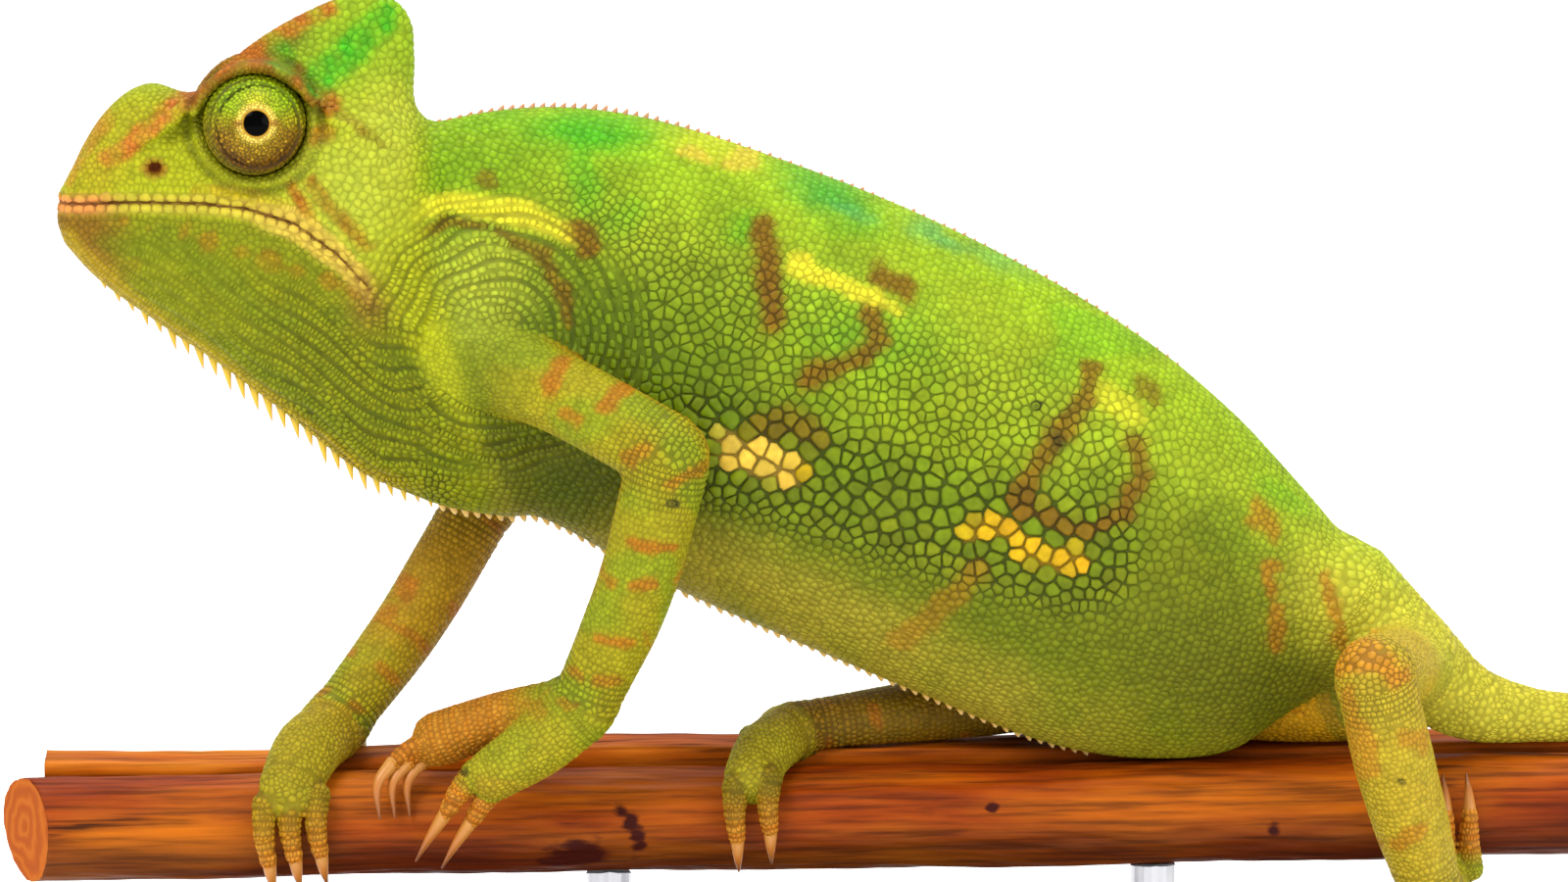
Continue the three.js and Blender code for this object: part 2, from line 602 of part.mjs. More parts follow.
const parted = partBody(cutBy(join(bodyForm(), throatCrest()), sockets, perchSpace));
for (const [name, piece] of Object.entries(parted))
  place(name, piece, name === "jaw_and_throat" ? THROAT_GREEN : SKIN_GREEN);
place("eye_left", ball(eyes[0], eyeRadii(0), { detail: [14, 10] }), EYE_OLIVE);
place("eye_right", ball(eyes[1], eyeRadii(0), { detail: [14, 10] }), EYE_OLIVE);

// The tail in four lengths, each cut clear of the one before.
const radiusOfTail = (share) => THREE.MathUtils.lerp(TAIL_RADII[5], 0.75, share ** 0.85);
const coilLength = (from, to) => {
  const total = 360 * COIL.turns;
  return {
    points: coilStretch(from, to),
    radii: [0, 0.25, 0.5, 0.75, 1].map((s) => radiusOfTail(THREE.MathUtils.lerp(from, to, s) / total)),
  };
};
const TAIL_PIECES = {
  tail_base: { points: TAIL_RUN, radii: TAIL_RADII.slice(0, 5), steps: 8 },
  tail_middle: { points: [TAIL_RUN[4], v3(90.5, 1.6, 61.1), ...coilStretch(0, 110)], radii: [2.7, 2.55, 2.4], steps: 9 },
  tail_coil: { ...coilLength(110, 330), steps: 12 },
  tail_tip: { ...coilLength(330, 360 * COIL.turns), steps: 11 },
};
const tailForm = (name, grow = 0) => {
  const { points, radii, steps } = TAIL_PIECES[name];
  return limb(points, radii, { sides: 8, steps, grow });
};
const { point: cutPoint, normal: cutNormal } = TAIL_CUT;
const tailRoot = join(tailForm("tail_base"), bodyForm());
const cutDepth = cutNormal.dot(cutPoint) + SKIN_CUT / 2;
place("tail_base", cutBy(tailRoot.trimByPlane(cutNormal.toArray(), cutDepth), perchSpace), SKIN_GREEN);
const tailNames = Object.keys(TAIL_PIECES);
tailNames.slice(1).forEach((name, i) => {
  place(name, cutBy(tailForm(name), tailForm(tailNames[i], GAP), perchSpace), SKIN_GREEN);
});

for (const leg of Object.keys(LEGS)) {
  const front = leg.startsWith("front");
  const upper = cutBy(legForm(leg, "upper"), bodySpace, perchSpace, tailForm("tail_base", GAP));
  place(`${leg}_${front ? "upper_arm" : "thigh"}`, upper, LEG_GREEN);
  const upperSpace = [legForm(leg, "upper", GAP), bodySpace, perchSpace];
  place(`${leg}_${front ? "forearm" : "shank"}`, cutBy(legForm(leg, "lower"), upperSpace), LEG_GREEN);
}
const earlierBundle = {};
for (const [name, spec] of Object.entries(BUNDLES)) {
  const tools = [legForm(spec.leg, "lower", GAP), perchSpace];
  if (earlierBundle[spec.leg]) tools.push(bundleForm(earlierBundle[spec.leg], GAP));
  earlierBundle[spec.leg] = spec;
  place(`${name}_toes`, cutBy(bundleForm(spec), tools), TOE_OCHRE);
}

place("perch_pole", poleForm(), BARK_BROWN);
place("perch_slat", slatForm().subtract(poleForm(GAP)), SPLIT_WOOD);
place("stand_base", baseForm(), BASE_BLACK);
place("stand_rod_front", rodForm(-ROD.spacing / 2), ROD_STEEL);
place("stand_rod_rear", rodForm(ROD.spacing / 2), ROD_STEEL);

export default model;
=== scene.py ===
"""A life-size veiled chameleon gripping a cut length of split branch, held on a plain display stand."""
import math

import bpy
import numpy as np
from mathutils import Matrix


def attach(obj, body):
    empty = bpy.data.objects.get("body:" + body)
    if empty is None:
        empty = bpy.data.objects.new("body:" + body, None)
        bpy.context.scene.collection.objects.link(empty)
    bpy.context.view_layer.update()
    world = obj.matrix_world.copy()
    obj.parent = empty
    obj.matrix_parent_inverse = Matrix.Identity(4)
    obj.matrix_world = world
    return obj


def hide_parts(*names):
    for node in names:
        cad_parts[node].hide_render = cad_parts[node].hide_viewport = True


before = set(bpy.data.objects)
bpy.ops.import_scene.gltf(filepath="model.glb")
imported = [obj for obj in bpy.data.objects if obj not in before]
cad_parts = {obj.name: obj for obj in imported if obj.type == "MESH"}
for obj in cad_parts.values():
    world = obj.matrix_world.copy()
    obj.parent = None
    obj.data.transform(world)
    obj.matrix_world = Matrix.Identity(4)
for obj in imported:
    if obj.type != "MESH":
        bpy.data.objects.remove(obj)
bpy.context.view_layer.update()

import openvdb
from mathutils import Matrix, Vector
from mathutils.kdtree import KDTree

# ---------------------------------------------------------------- driving values, in millimetres
MM = 0.001
VOXEL = 0.45  # step of the flesh's distance field
COARSER = 1.0
COAT = 0.3  # the skin lies this far inside the solids, under its scales
LOW = np.array([-101.0, -33.0, 25.0])
HIGH = np.array([123.0, 27.0, 152.0])
BAND = 4.5  # the field is exact this far from the surface
rng = np.random.default_rng(11)

# Station tables: x, top, bottom, half width, and the share of the height where the body is widest.
TRUNK = [
    (-58, 127, 97, 6.6, 0.5),
    (-50, 130.6, 88.6, 8.0, 0.5),
    (-38, 132.3, 85.2, 9.8, 0.47),
    (-26, 130.9, 78.4, 11.4, 0.44),
    (-11, 126.1, 71.4, 12.8, 0.42),
    (4, 120.0, 64.8, 13.6, 0.41),
    (19, 112.3, 58.7, 13.4, 0.4),
    (31, 104.5, 56.6, 12.4, 0.4),
    (40, 96.8, 57.6, 10.8, 0.42),
    (46, 90.4, 61.5, 9.2, 0.46),
    (51, 84.6, 64.6, 7.8, 0.5),
    (58, 76.1, 64.2, 5.6, 0.5),
]
THROAT = [
    (-90.4, 120, 117.6, 1.6, 0.6),
    (-87.4, 120, 113.9, 3.4, 0.65),
    (-80.5, 118, 107.9, 5.2, 0.7),
    (-72.9, 117, 102.3, 6.4, 0.7),
    (-65.4, 116, 96.4, 7.2, 0.7),
    (-57.8, 114, 90.4, 7.6, 0.66),
    (-50, 112, 87.9, 7.4, 0.6),
    (-42, 108, 86.8, 6.6, 0.55),
]
SKULL = [
    (-91.8, 122.9, 119.4, 1.3, 0.55),
    (-90.5, 125.4, 117.2, 3.1, 0.5),
    (-86.5, 131.2, 113.2, 4.9, 0.5),
    (-81.5, 134.8, 110.2, 5.9, 0.5),
    (-77, 134.2, 108, 6.8, 0.5),
    (-71.5, 135.6, 106, 7.7, 0.5),
    (-65, 137.2, 104, 8.6, 0.48),
    (-59, 136.5, 103, 9.4, 0.46),
    (-54, 132.5, 104, 9.0, 0.48),
    (-50, 128.5, 106, 7.4, 0.5),
]
# Level slices of the casque: z, front, back, half width.
CASQUE = [
    (125, -74, -51.8, 8.0),
    (130, -75.5, -51.2, 7.6),
    (134, -75, -52.3, 5.8),
    (138, -71.6, -52.4, 3.8),
    (141, -67.6, -52.1, 2.6),
    (143.4, -63.2, -53.1, 1.8),
    (145.2, -59, -55.2, 0.9),
]
BROW = [
    (-89, -3.0, 126.6),
    (-84, -4.9, 128.6),
    (-80, -5.7, 131.0),
    (-76.1, -6.6, 134.0),
    (-72.1, -7.2, 137.0),
    (-68.5, -7.6, 137.7),
    (-64.8, -8.2, 136.0),
    (-61.2, -8.8, 132.2),
]
BROW_RADII = [0.4, 0.8, 1.1, 1.2, 1.2, 1.2, 1.1, 0.6]
# The far ridge lies lower, as in the photo, where the near one hides it.
FAR_BROW = [
    (-89, 3.0, 124.8),
    (-84, 4.9, 126.6),
    (-80, 5.7, 128.9),
    (-76.4, 6.0, 132.0),
    (-72.3, 3.8, 136.2),
    (-68.5, 4.2, 137.1),
    (-64.6, 6.4, 135.6),
    (-61.2, 8.4, 131.6),
]
CASQUE_EDGE = [(-74.6, 0, 134.0), (-71.4, 0, 137.2), (-67.2, 0, 140.0), (-62.8, 0, 142.2), (-58.8, 0, 143.6)]
CASQUE_BACK = [(-56.8, 0, 143.5), (-54.0, 0, 141.2), (-53.1, 0, 137.5), (-53.2, 0, 133.2)]
TEMPLE_RIDGE = [(-61.6, -8.4, 131.8), (-58, -8.2, 130.6), (-55.2, -6.8, 128.6)]
EYE = np.array([-69.8, -6.6, 131.3])
EYE_RADIUS = 5.9
CHEEK = ((-58.5, -5.3, 122.5), (7.6, 4.6, 10.0))
SHOULDER = ((-43, -6.2, 106.5), (8.5, 4.6, 10.5))

# The mouth line from the lips' tip to the corner of the jaws, in x and z.
MOUTH_X = [-93, -84, -76, -71, -65.5, -61, -57.2]
MOUTH_Z = [121.9, 122.5, 122.5, 122.0, 120.4, 117.2, 113.0]
MOUTH_CORNER = -57.6
SHOULDER_JOINT = (-43.5, 107.5)  # the folds of the neck ring this place, in x and z
NOSTRIL = np.array([-80.8, -5.7, 126.3])

TAIL_RUN = [(52, 0, 74.5), (59.5, 0, 68.6), (67, 0.3, 62.9), (75, 0.8, 61.0), (84, 1.4, 60.6), (90.5, 1.6, 61.1)]
TAIL_RUN_RADII = [8.0, 6.3, 4.7, 3.3, 2.7, 2.5]
COIL = {"x": 100, "z": 46, "outer": 15, "inner": 4.4, "turns": 1.55, "start": 102}

LEGS = {
    "front_left": {
        "upper": [(-47, -6.5, 106), (-36, -12.5, 101.5), (-24.6, -17, 95.6)],
        "upper_radii": [5.6, 4.7, 4.7],
        "lower": [(-24.8, -17, 95.2), (-28.6, -16, 80.5), (-34, -13.2, 67.2)],
        "lower_radii": [4.8, 4.7, 4.5, 3.9],
    },
    "front_right": {
        "upper": [(-47, 6.5, 104), (-45.5, 12, 95), (-44.6, 14, 85)],
        "upper_radii": [5.2, 4.6, 4.4],
        "lower": [(-44.8, 14, 84.6), (-53.2, 9.4, 71.6), (-61.8, 3.4, 61.4)],
        "lower_radii": [4.3, 4.3, 4.1, 3.7],
    },
    "hind_left": {
        "upper": [(59.6, -3, 67.8), (56.6, -12, 69.4), (53, -20.6, 70.6)],
        "upper_radii": [4.9, 4.7, 4.6],
        "lower": [(53, -21, 70.4), (56.2, -18.4, 58.6), (61.2, -13.4, 43.6)],
        "lower_radii": [4.6, 4.8, 4.5, 3.7],
    },
    "hind_right": {
        "upper": [(56.6, 4, 65.6), (45, 8.2, 62.6), (27, 12.2, 63.4)],
        "upper_radii": [7.9, 6.2, 4.3],
        "lower": [(26.6, 12, 63.4), (8, 7.4, 61.4), (-9, 3.2, 60.2)],
        "lower_radii": [4.2, 4.4, 3.9, 3.3],
    },
}
# Each foot is two opposed bundles of toes: palm, number of toes, step to the next toe, toe and claw.
BUNDLES = {
    "front_left_outer": (
        [(-34.4, -13.2, 66.4), (-39.2, -13, 62.4), (-44.4, -12.4, 58.9)], [4.0, 3.9, 3.3], 2, (2.9, 0.2, -0.9),
        [(-46.2, -12.4, 59.2), (-48.1, -12.1, 56.9), (-49.5, -11.6, 54.4)], [2.0, 1.9, 1.5],
        [(-49.3, -11.6, 54.8), (-51.4, -10.7, 51.4), (-52.9, -9.0, 48.4)],
    ),
    "front_left_inner": (
        [(-36, -11, 67.2), (-43.5, -7.4, 64.2), (-50.4, -5.2, 61.4)], [2.6, 3.2, 3.4], 3, (1.7, 0.9, -0.1),
        [(-51.5, -6.4, 61.4), (-54, -6.8, 60.4), (-55.5, -7.6, 59)], [1.7, 1.6, 1.4],
        [(-55.3, -7.4, 59.4), (-57.1, -8.9, 57.2), (-56.9, -9.4, 53.4)],
    ),
    "front_right_inner": (
        [(-62.2, 2.8, 61), (-65, -2.4, 59.6), (-67, -7.2, 56.4)], [3.9, 4.1, 3.7], 3, (2.9, 0, 0.5),
        [(-69.6, -8.4, 55.2), (-69.8, -9.4, 51.8), (-69.3, -9.1, 48.4)], [1.9, 1.8, 1.5],
        [(-69.3, -9.1, 48.8), (-69, -8.6, 46.4), (-68.6, -6.9, 44.3)],
    ),
    "front_right_outer": (
        [(-61.4, 4.6, 61.4), (-61.2, 9.4, 60.4), (-61.2, 13.2, 57.6)], [3.6, 3.7, 3.3], 2, (3.1, 0, 0.2),
        [(-62.8, 14.2, 56.8), (-62.9, 14.9, 53.6), (-62.6, 14, 50.4)], [2.0, 1.8, 1.5],
        [(-62.6, 14.1, 50.8), (-62.4, 13, 48.2), (-62.2, 10.8, 46.6)],
    ),
    "hind_right_inner": (
        [(-10, 2.2, 60), (-13.4, -2.4, 58.8), (-15.2, -7.0, 56.8)], [3.3, 3.7, 3.4], 2, (3.7, 0, 0.9),
        [(-17.0, -8.6, 56.4), (-17.2, -9.5, 53.4), (-16.9, -9.3, 50.4)], [2.0, 1.8, 1.5],
        [(-16.9, -9.3, 50.8), (-16.8, -8.9, 48.2), (-16.6, -7.3, 46.2)],
    ),
    "hind_right_outer": (
        [(-9.6, 4, 59.4), (-10.4, 9, 58.8), (-11, 13, 57)], [3.2, 3.2, 3.2], 3, (2.7, 0, 0.2),
        [(-13.8, 14.2, 57), (-14, 14.9, 53.8), (-13.8, 14, 50.6)], [1.9, 1.8, 1.4],
        [(-13.8, 14.1, 51), (-13.6, 13, 48.4), (-13.4, 10.8, 46.8)],
    ),
    "hind_left_outer": (
        [(61.8, -13, 43.2), (62.6, -11.4, 43.6), (63.2, -10.2, 45.4)], [3.5, 3.2, 2.8], 3, (2.7, 0, 0.1),
        [(60.6, -10.2, 45.4), (60.4, -10.1, 48.6), (60.4, -10.1, 52)], [1.9, 1.8, 1.5],
        [(60.4, -10.1, 51.6), (60.4, -9.2, 54.2), (60.4, -7.4, 56)],
    ),
    "hind_left_inner": (
        [(62.2, -11.6, 41.8), (63.2, -6.4, 41.4), (63.8, -1, 41.6)], [3.4, 3.3, 3.0], 2, (3.1, 0, 0),
        [(62, 1, 41.8), (62, 4.6, 43.2), (62, 6.6, 46)], [2.0, 1.8, 1.5],
        [(62, 6.5, 45.6), (62, 7.1, 48), (62, 6.6, 50)],
    ),
}

POLE = {"radius": 5.9, "y": -1.5, "z": 51, "left": -97.2, "right": 88, "cut_angle": 25}
SLAT = {"top": 57.5, "bottom": 51.5, "front": 2.2, "back": 11.6, "left": -94.5, "right": 84}
SLAT_HUMP = {"at": -24, "reach": 24, "rise": 1.2}


# ---------------------------------------------------------------- curves and lofts
def smooth(low, high, value):
    """0 at low, 1 at high, and an eased ramp between."""
    t = np.clip((value - low) / (high - low), 0, 1)
    return t * t * (3 - 2 * t)


def bump(value, centre, reach):
    """1 at the centre, falling off over the reach."""
    return np.exp(-(((value - centre) / reach) ** 2))


def unit(vectors):
    return vectors / np.maximum(np.linalg.norm(vectors, axis=-1, keepdims=True), 1e-9)


def mirrored(points):
    return [(x, -y, z) for x, y, z in points]


def along(stations, x, column):
    """Value of one column of a station table at each x: a cubic through the stations."""
    table = np.array(stations, float)
    at, value = table[:, 0], table[:, column]
    slope = np.gradient(value)
    slope[1:-1] = (value[2:] - value[:-2]) / (at[2:] - at[:-2])
    slope[0] = (value[1] - value[0]) / (at[1] - at[0])
    slope[-1] = (value[-1] - value[-2]) / (at[-1] - at[-2])
    i = np.clip(np.searchsorted(at, x, side="right") - 1, 0, len(at) - 2)
    span = at[i + 1] - at[i]
    t = np.clip((x - at[i]) / span, 0, 1)
    start = (1 + 2 * t) * (1 - t) ** 2 * value[i] + t * t * (3 - 2 * t) * value[i + 1]
    return start + span * (t * (1 - t) ** 2 * slope[i] + t * t * (t - 1) * slope[i + 1])


def curve(points, count):
    """Evenly spaced points on a centripetal Catmull-Rom curve through the given ones."""
    p = np.array(points, float)
    p = np.vstack([2 * p[0] - p[1], p, 2 * p[-1] - p[-2]])
    dense = []
    for a, b, c, d in zip(p, p[1:], p[2:], p[3:]):
        t1 = np.linalg.norm(b - a) ** 0.5
        t2 = t1 + np.linalg.norm(c - b) ** 0.5
        t3 = t2 + np.linalg.norm(d - c) ** 0.5
        t = np.linspace(t1, t2, 25)[:, None]
        ab = (t1 - t) / t1 * a + t / t1 * b
        bc = (t2 - t) / (t2 - t1) * b + (t - t1) / (t2 - t1) * c
        cd = (t3 - t) / (t3 - t2) * c + (t - t2) / (t3 - t2) * d
        abc = (t2 - t) / t2 * ab + t / t2 * bc
        bcd = (t3 - t) / (t3 - t1) * bc + (t - t1) / (t3 - t1) * cd
        dense.append((t2 - t) / (t2 - t1) * abc + (t - t1) / (t2 - t1) * bcd)
    dense = np.vstack(dense)
    travelled = np.concatenate([[0], np.cumsum(np.linalg.norm(np.diff(dense, axis=0), axis=1))])
    places = np.linspace(0, travelled[-1], count)
    return np.column_stack([np.interp(places, travelled, dense[:, k]) for k in range(3)])


def loft(rings, closed_ends=True):
    """(points, triangles) of a skin over rings of equal point counts."""
    rings = np.asarray(rings, float)
    rows, count = rings.shape[:2]
    points = rings.reshape(-1, 3)
    a = (np.arange(rows - 1)[:, None] * count + np.arange(count)).ravel()
    b = (np.arange(rows - 1)[:, None] * count + (np.arange(count) + 1) % count).ravel()
    faces = [np.column_stack([a, b, a + count]), np.column_stack([b, b + count, a + count])]
    if closed_ends:
        points = np.vstack([points, rings[0].mean(0), rings[-1].mean(0)])
        k = np.arange(count)
        after = (k + 1) % count
        first, last = len(points) - 2, len(points) - 1
        faces.append(np.column_stack([after, k, np.full(count, first)]))
        base = (rows - 1) * count
        faces.append(np.column_stack([base + k, base + after, np.full(count, last)]))
    return points, np.vstack(faces)


def signed_power(value, power):
    return np.sign(value) * np.abs(value) ** power


def sliced_form(stations, width=2.0, upper=2.0, lower=2.0, slices=110, sides=72):
    """A body form of upright superellipse slices through a station table."""
    x = np.linspace(stations[0][0], stations[-1][0], slices)
    top, bottom, half, widest = (along(stations, x, k)[:, None] for k in (1, 2, 3, 4))
    centre = bottom + (top - bottom) * widest
    angle = (np.arange(sides) + 0.5) / sides * 2 * np.pi
    up = np.sin(angle)[None, :]
    reach = np.where(up > 0, top - centre, centre - bottom)
    power = np.where(up > 0, 2 / upper, 2 / lower)
    z = centre + reach * signed_power(up, power)
    y = half * signed_power(np.cos(angle)[None, :], 2 / width)
    return loft(np.stack([np.broadcast_to(x[:, None], z.shape), y, z], -1))


def casque_form(sides=72):
    levels = np.linspace(CASQUE[0][0], CASQUE[-1][0], 40)
    front, back, half = (along(CASQUE, levels, k)[:, None] for k in (1, 2, 3))
    angle = np.arange(sides) / sides * 2 * np.pi
    x = (front + back) / 2 + (back - front) / 2 * signed_power(np.cos(angle)[None, :], 0.85)
    y = half * signed_power(np.sin(angle)[None, :], 0.9)
    return loft(np.stack([x, y, np.broadcast_to(levels[:, None], x.shape)], -1))


def ellipsoid(centre, radii, sides=40):
    tilt = np.linspace(-np.pi / 2 + 0.04, np.pi / 2 - 0.04, sides // 2)[:, None]
    turn = np.arange(sides)[None, :] / sides * 2 * np.pi
    ring = np.stack([np.cos(tilt) * np.cos(turn), np.cos(tilt) * np.sin(turn), np.sin(tilt) + 0 * turn], -1)
    return loft(np.array(centre) + ring * np.array(radii))


class Limb:
    """A tapered rod with round ends through points: its form, and places along and round it."""

    def __init__(self, name, kind, points, radii, root_blend=0.5, root_reach=6.0, count=18):
        self.name, self.kind, self.root_blend, self.root_reach = name, kind, root_blend, root_reach
        self.path = curve(points, count)
        share = np.linspace(0, 1, count)
        self.radii = np.interp(share, np.linspace(0, 1, len(radii)), radii)
        self.tangent = unit(np.gradient(self.path, axis=0))
        across = np.array([0, 1.0, 0]) - self.tangent * self.tangent[:, 1:2]
        self.across = unit(across)
        self.wide = np.cross(self.tangent, self.across)
        self.length = np.linalg.norm(np.diff(self.path, axis=0), axis=1).sum()

    def form(self, sides=28, end=0.85):
        turn = np.arange(sides) / sides * 2 * np.pi
        spoke = np.cos(turn)[:, None, None] * self.wide + np.sin(turn)[:, None, None] * self.across
        spoke = spoke.transpose(1, 0, 2)
        rings = list(self.path[:, None] + spoke * self.radii[:, None, None])
        for rise in (30, 55, 78):
            out = math.sin(math.radians(rise)) * end
            shrink = math.cos(math.radians(rise))
            first = self.path[0] - self.tangent[0] * self.radii[0] * out + spoke[0] * self.radii[0] * shrink
            last = self.path[-1] + self.tangent[-1] * self.radii[-1] * out + spoke[-1] * self.radii[-1] * shrink
            rings = [first] + rings + [last]
        return loft(rings)

    def box(self, margin):
        return self.path.min(0) - self.radii.max() - margin, self.path.max(0) + self.radii.max() + margin

    def nearest(self, points):
        """(clearance, share of the length, angle round the axis, direction) of each point."""
        clearance = np.full(len(points), 1e6)
        way = np.zeros((len(points), 3))
        share = np.zeros(len(points))
        angle = np.zeros(len(points))
        last = len(self.path) - 1
        for i in range(last):
            start, step = self.path[i], self.path[i + 1] - self.path[i]
            t = np.clip((points - start) @ step / (step @ step), 0, 1)
            away = points - start - t[:, None] * step
            gap = np.linalg.norm(away, axis=1) - (self.radii[i] * (1 - t) + self.radii[i + 1] * t)
            closer = gap < clearance
            clearance[closer] = gap[closer]
            share[closer] = ((i + t) / last)[closer]
            angle[closer] = np.arctan2(away @ self.across[i], away @ self.wide[i])[closer]
            way[closer] = self.tangent[i]
        return clearance, share, angle, way


def coil_point(turned):
    share = turned / (360 * COIL["turns"])
    radius = COIL["outer"] + (COIL["inner"] - COIL["outer"]) * share**0.9
    angle = math.radians(COIL["start"] - turned)
    return (COIL["x"] + radius * math.cos(angle), 1.6 * (1 - share), COIL["z"] + radius * math.sin(angle))


def tail_limb():
    turns = [coil_point(t) for t in np.linspace(0, 360 * COIL["turns"], 27)]
    points = TAIL_RUN + turns
    path = curve(points, 200)
    run = len(TAIL_RUN)
    travelled = np.concatenate([[0], np.cumsum(np.linalg.norm(np.diff(np.array(points), axis=0), axis=1))])
    share = np.linspace(0, 1, 27)
    known = TAIL_RUN_RADII + list(2.45 + (0.75 - 2.45) * share**0.85)
    radii = np.interp(np.linspace(0, travelled[-1], 200), travelled, known)
    limb = Limb("tail", "tail", points, [1, 1], root_blend=4.0, root_reach=12.0, count=200)
    limb.path, limb.radii = path, radii
    return limb


TOE_SLIMMING = (0.94, 0.82, 0.8)  # leaves clefts between the toes


def all_limbs():
    limbs = [tail_limb()]
    for name, leg in LEGS.items():
        limbs.append(Limb(name + "_upper", "leg", leg["upper"], leg["upper_radii"], 4.5, 9.0))
        limbs.append(Limb(name + "_lower", "leg", leg["lower"], leg["lower_radii"], 1.6, 6.0))
    for name, (palm, palm_radii, toes, step, toe, toe_radii, claw) in BUNDLES.items():
        limbs.append(Limb(name + "_palm", "palm", palm, palm_radii, 2.2, 7.0, 10))
        for i in range(toes):
            moved = np.array(toe) + np.array(step) * i
            slim = np.array(toe_radii) * TOE_SLIMMING
            limbs.append(Limb(f"{name}_toe{i}", "toe", moved, slim, 1.0, 2.2, 8))
    return limbs


# ---------------------------------------------------------------- the flesh's distance field
class Field:
    """Signed distances in millimetres on a regular grid, negative inside."""

    def __init__(self):
        self.first = np.floor(LOW / VOXEL).astype(int)
        self.shape = np.ceil(HIGH / VOXEL).astype(int) - self.first
        self.values = np.full(self.shape, BAND, np.float32)

    def block(self, form):
        """(slices, distances) of a closed form, over the part of the grid that it reaches."""
        points, triangles = form
        low = np.maximum(np.floor((points.min(0) - BAND) / VOXEL).astype(int), self.first)
        high = np.minimum(np.ceil((points.max(0) + BAND) / VOXEL).astype(int), self.first + self.shape)
        grid = openvdb.FloatGrid.createLevelSetFromPolygons(
            points.astype(np.float32),
            triangles=triangles.astype(np.uint32),
            transform=openvdb.createLinearTransform(voxelSize=VOXEL),
            halfWidth=BAND / VOXEL,
        )
        values = np.empty(high - low, np.float32)
        grid.copyToArray(values, ijk=tuple(int(v) for v in low))
        start = low - self.first
        return tuple(slice(a, a + n) for a, n in zip(start, values.shape)), values

    def places(self, slices):
        axes = [(np.arange(s.start, s.stop) + f) * VOXEL for s, f in zip(slices, self.first)]
        return np.stack(np.meshgrid(*axes, indexing="ij"), -1)

    def join(self, form, blend):
        """Adds a form, with a fillet whose size is a number or a function of place."""
        slices, values = self.block(form)
        k = blend(self.places(slices)) if callable(blend) else blend
        old = self.values[slices]
        h = np.clip(0.5 + 0.5 * (values - old) / k, 0, 1)
        self.values[slices] = values * (1 - h) + old * h - k * h * (1 - h)

    def carve(self, form, clearance=0.0, blend=0.25):
        """Cuts a form out, grown by the clearance."""
        slices, values = self.block(form)
        inside_out = clearance - values
        old = self.values[slices]
        h = np.clip(0.5 - 0.5 * (inside_out - old) / blend, 0, 1)
        self.values[slices] = inside_out * (1 - h) + old * h + blend * h * (1 - h)

    def at(self, points):
        """The distance at any points, between the grid's values."""
        place = np.asarray(points) / VOXEL - self.first
        base = np.clip(np.floor(place).astype(int), 0, np.array(self.shape) - 2)
        t = place - base
        i, j, k = base.T
        total = np.zeros(len(place))
        for dx in (0, 1):
            for dy in (0, 1):
                for dz in (0, 1):
                    weight = np.ones(len(place))
                    for axis, d in enumerate((dx, dy, dz)):
                        weight = weight * (t[:, axis] if d else 1 - t[:, axis])
                    total += weight * self.values[i + dx, j + dy, k + dz]
        return total

    def normals(self, points, step=0.45):
        shifts = np.eye(3) * step
        return unit(np.column_stack([self.at(points + s) - self.at(points - s) for s in shifts]))

    def settle(self, points, level, directions=None, rounds=3):
        """Moves points onto the surface at that level."""
        for _ in range(rounds):
            way = self.normals(points) if directions is None else directions
            points = points - way * np.clip(self.at(points) - level, -1, 1)[:, None]
        return points


def pole_form(extra=0.0):
    turn = np.arange(48) / 48 * 2 * np.pi
    rings = []
    for x in np.linspace(-106, POLE["right"], 60):
        r = POLE["radius"] + extra + 0.16 * np.sin(3 * turn + 0.05 * x) + 0.1 * np.sin(0.19 * x + turn)
        rings.append(np.column_stack([np.full(48, x), POLE["y"] + r * np.cos(turn), POLE["z"] + r * np.sin(turn)]))
    return loft(rings)


def slat_top(x):
    return SLAT["top"] + 0.2 * np.sin(0.11 * x) + SLAT_HUMP["rise"] * bump(x, SLAT_HUMP["at"], SLAT_HUMP["reach"])


def slat_form():
    front, back, bottom = SLAT["front"], SLAT["back"], SLAT["bottom"]
    rings = []
    for x in np.linspace(SLAT["left"], SLAT["right"], 60):
        top = slat_top(x)
        section = [(front, bottom), (back - 1, bottom), (back, bottom + 1.4), (back, top - 1.6), (back - 1.6, top), (front, top)]
        rings.append([(x, y, z) for y, z in section])
    return loft(rings)


def socket_roof(ridge):
    """The shelf over an eye: from the brow ridge in to the middle of the skull."""
    outer = curve(ridge[1:], 24)
    inner = outer * np.array([1, 0.1, 1]) - np.array([0, 0, 0.5])
    middle = (outer + inner) / 2 - np.array([0, 0, 0.1])
    thick = np.array([0, 0, 0.75])
    return loft(np.stack([outer + thick, middle + thick, inner + thick, inner - thick, middle - thick, outer - thick], 1))


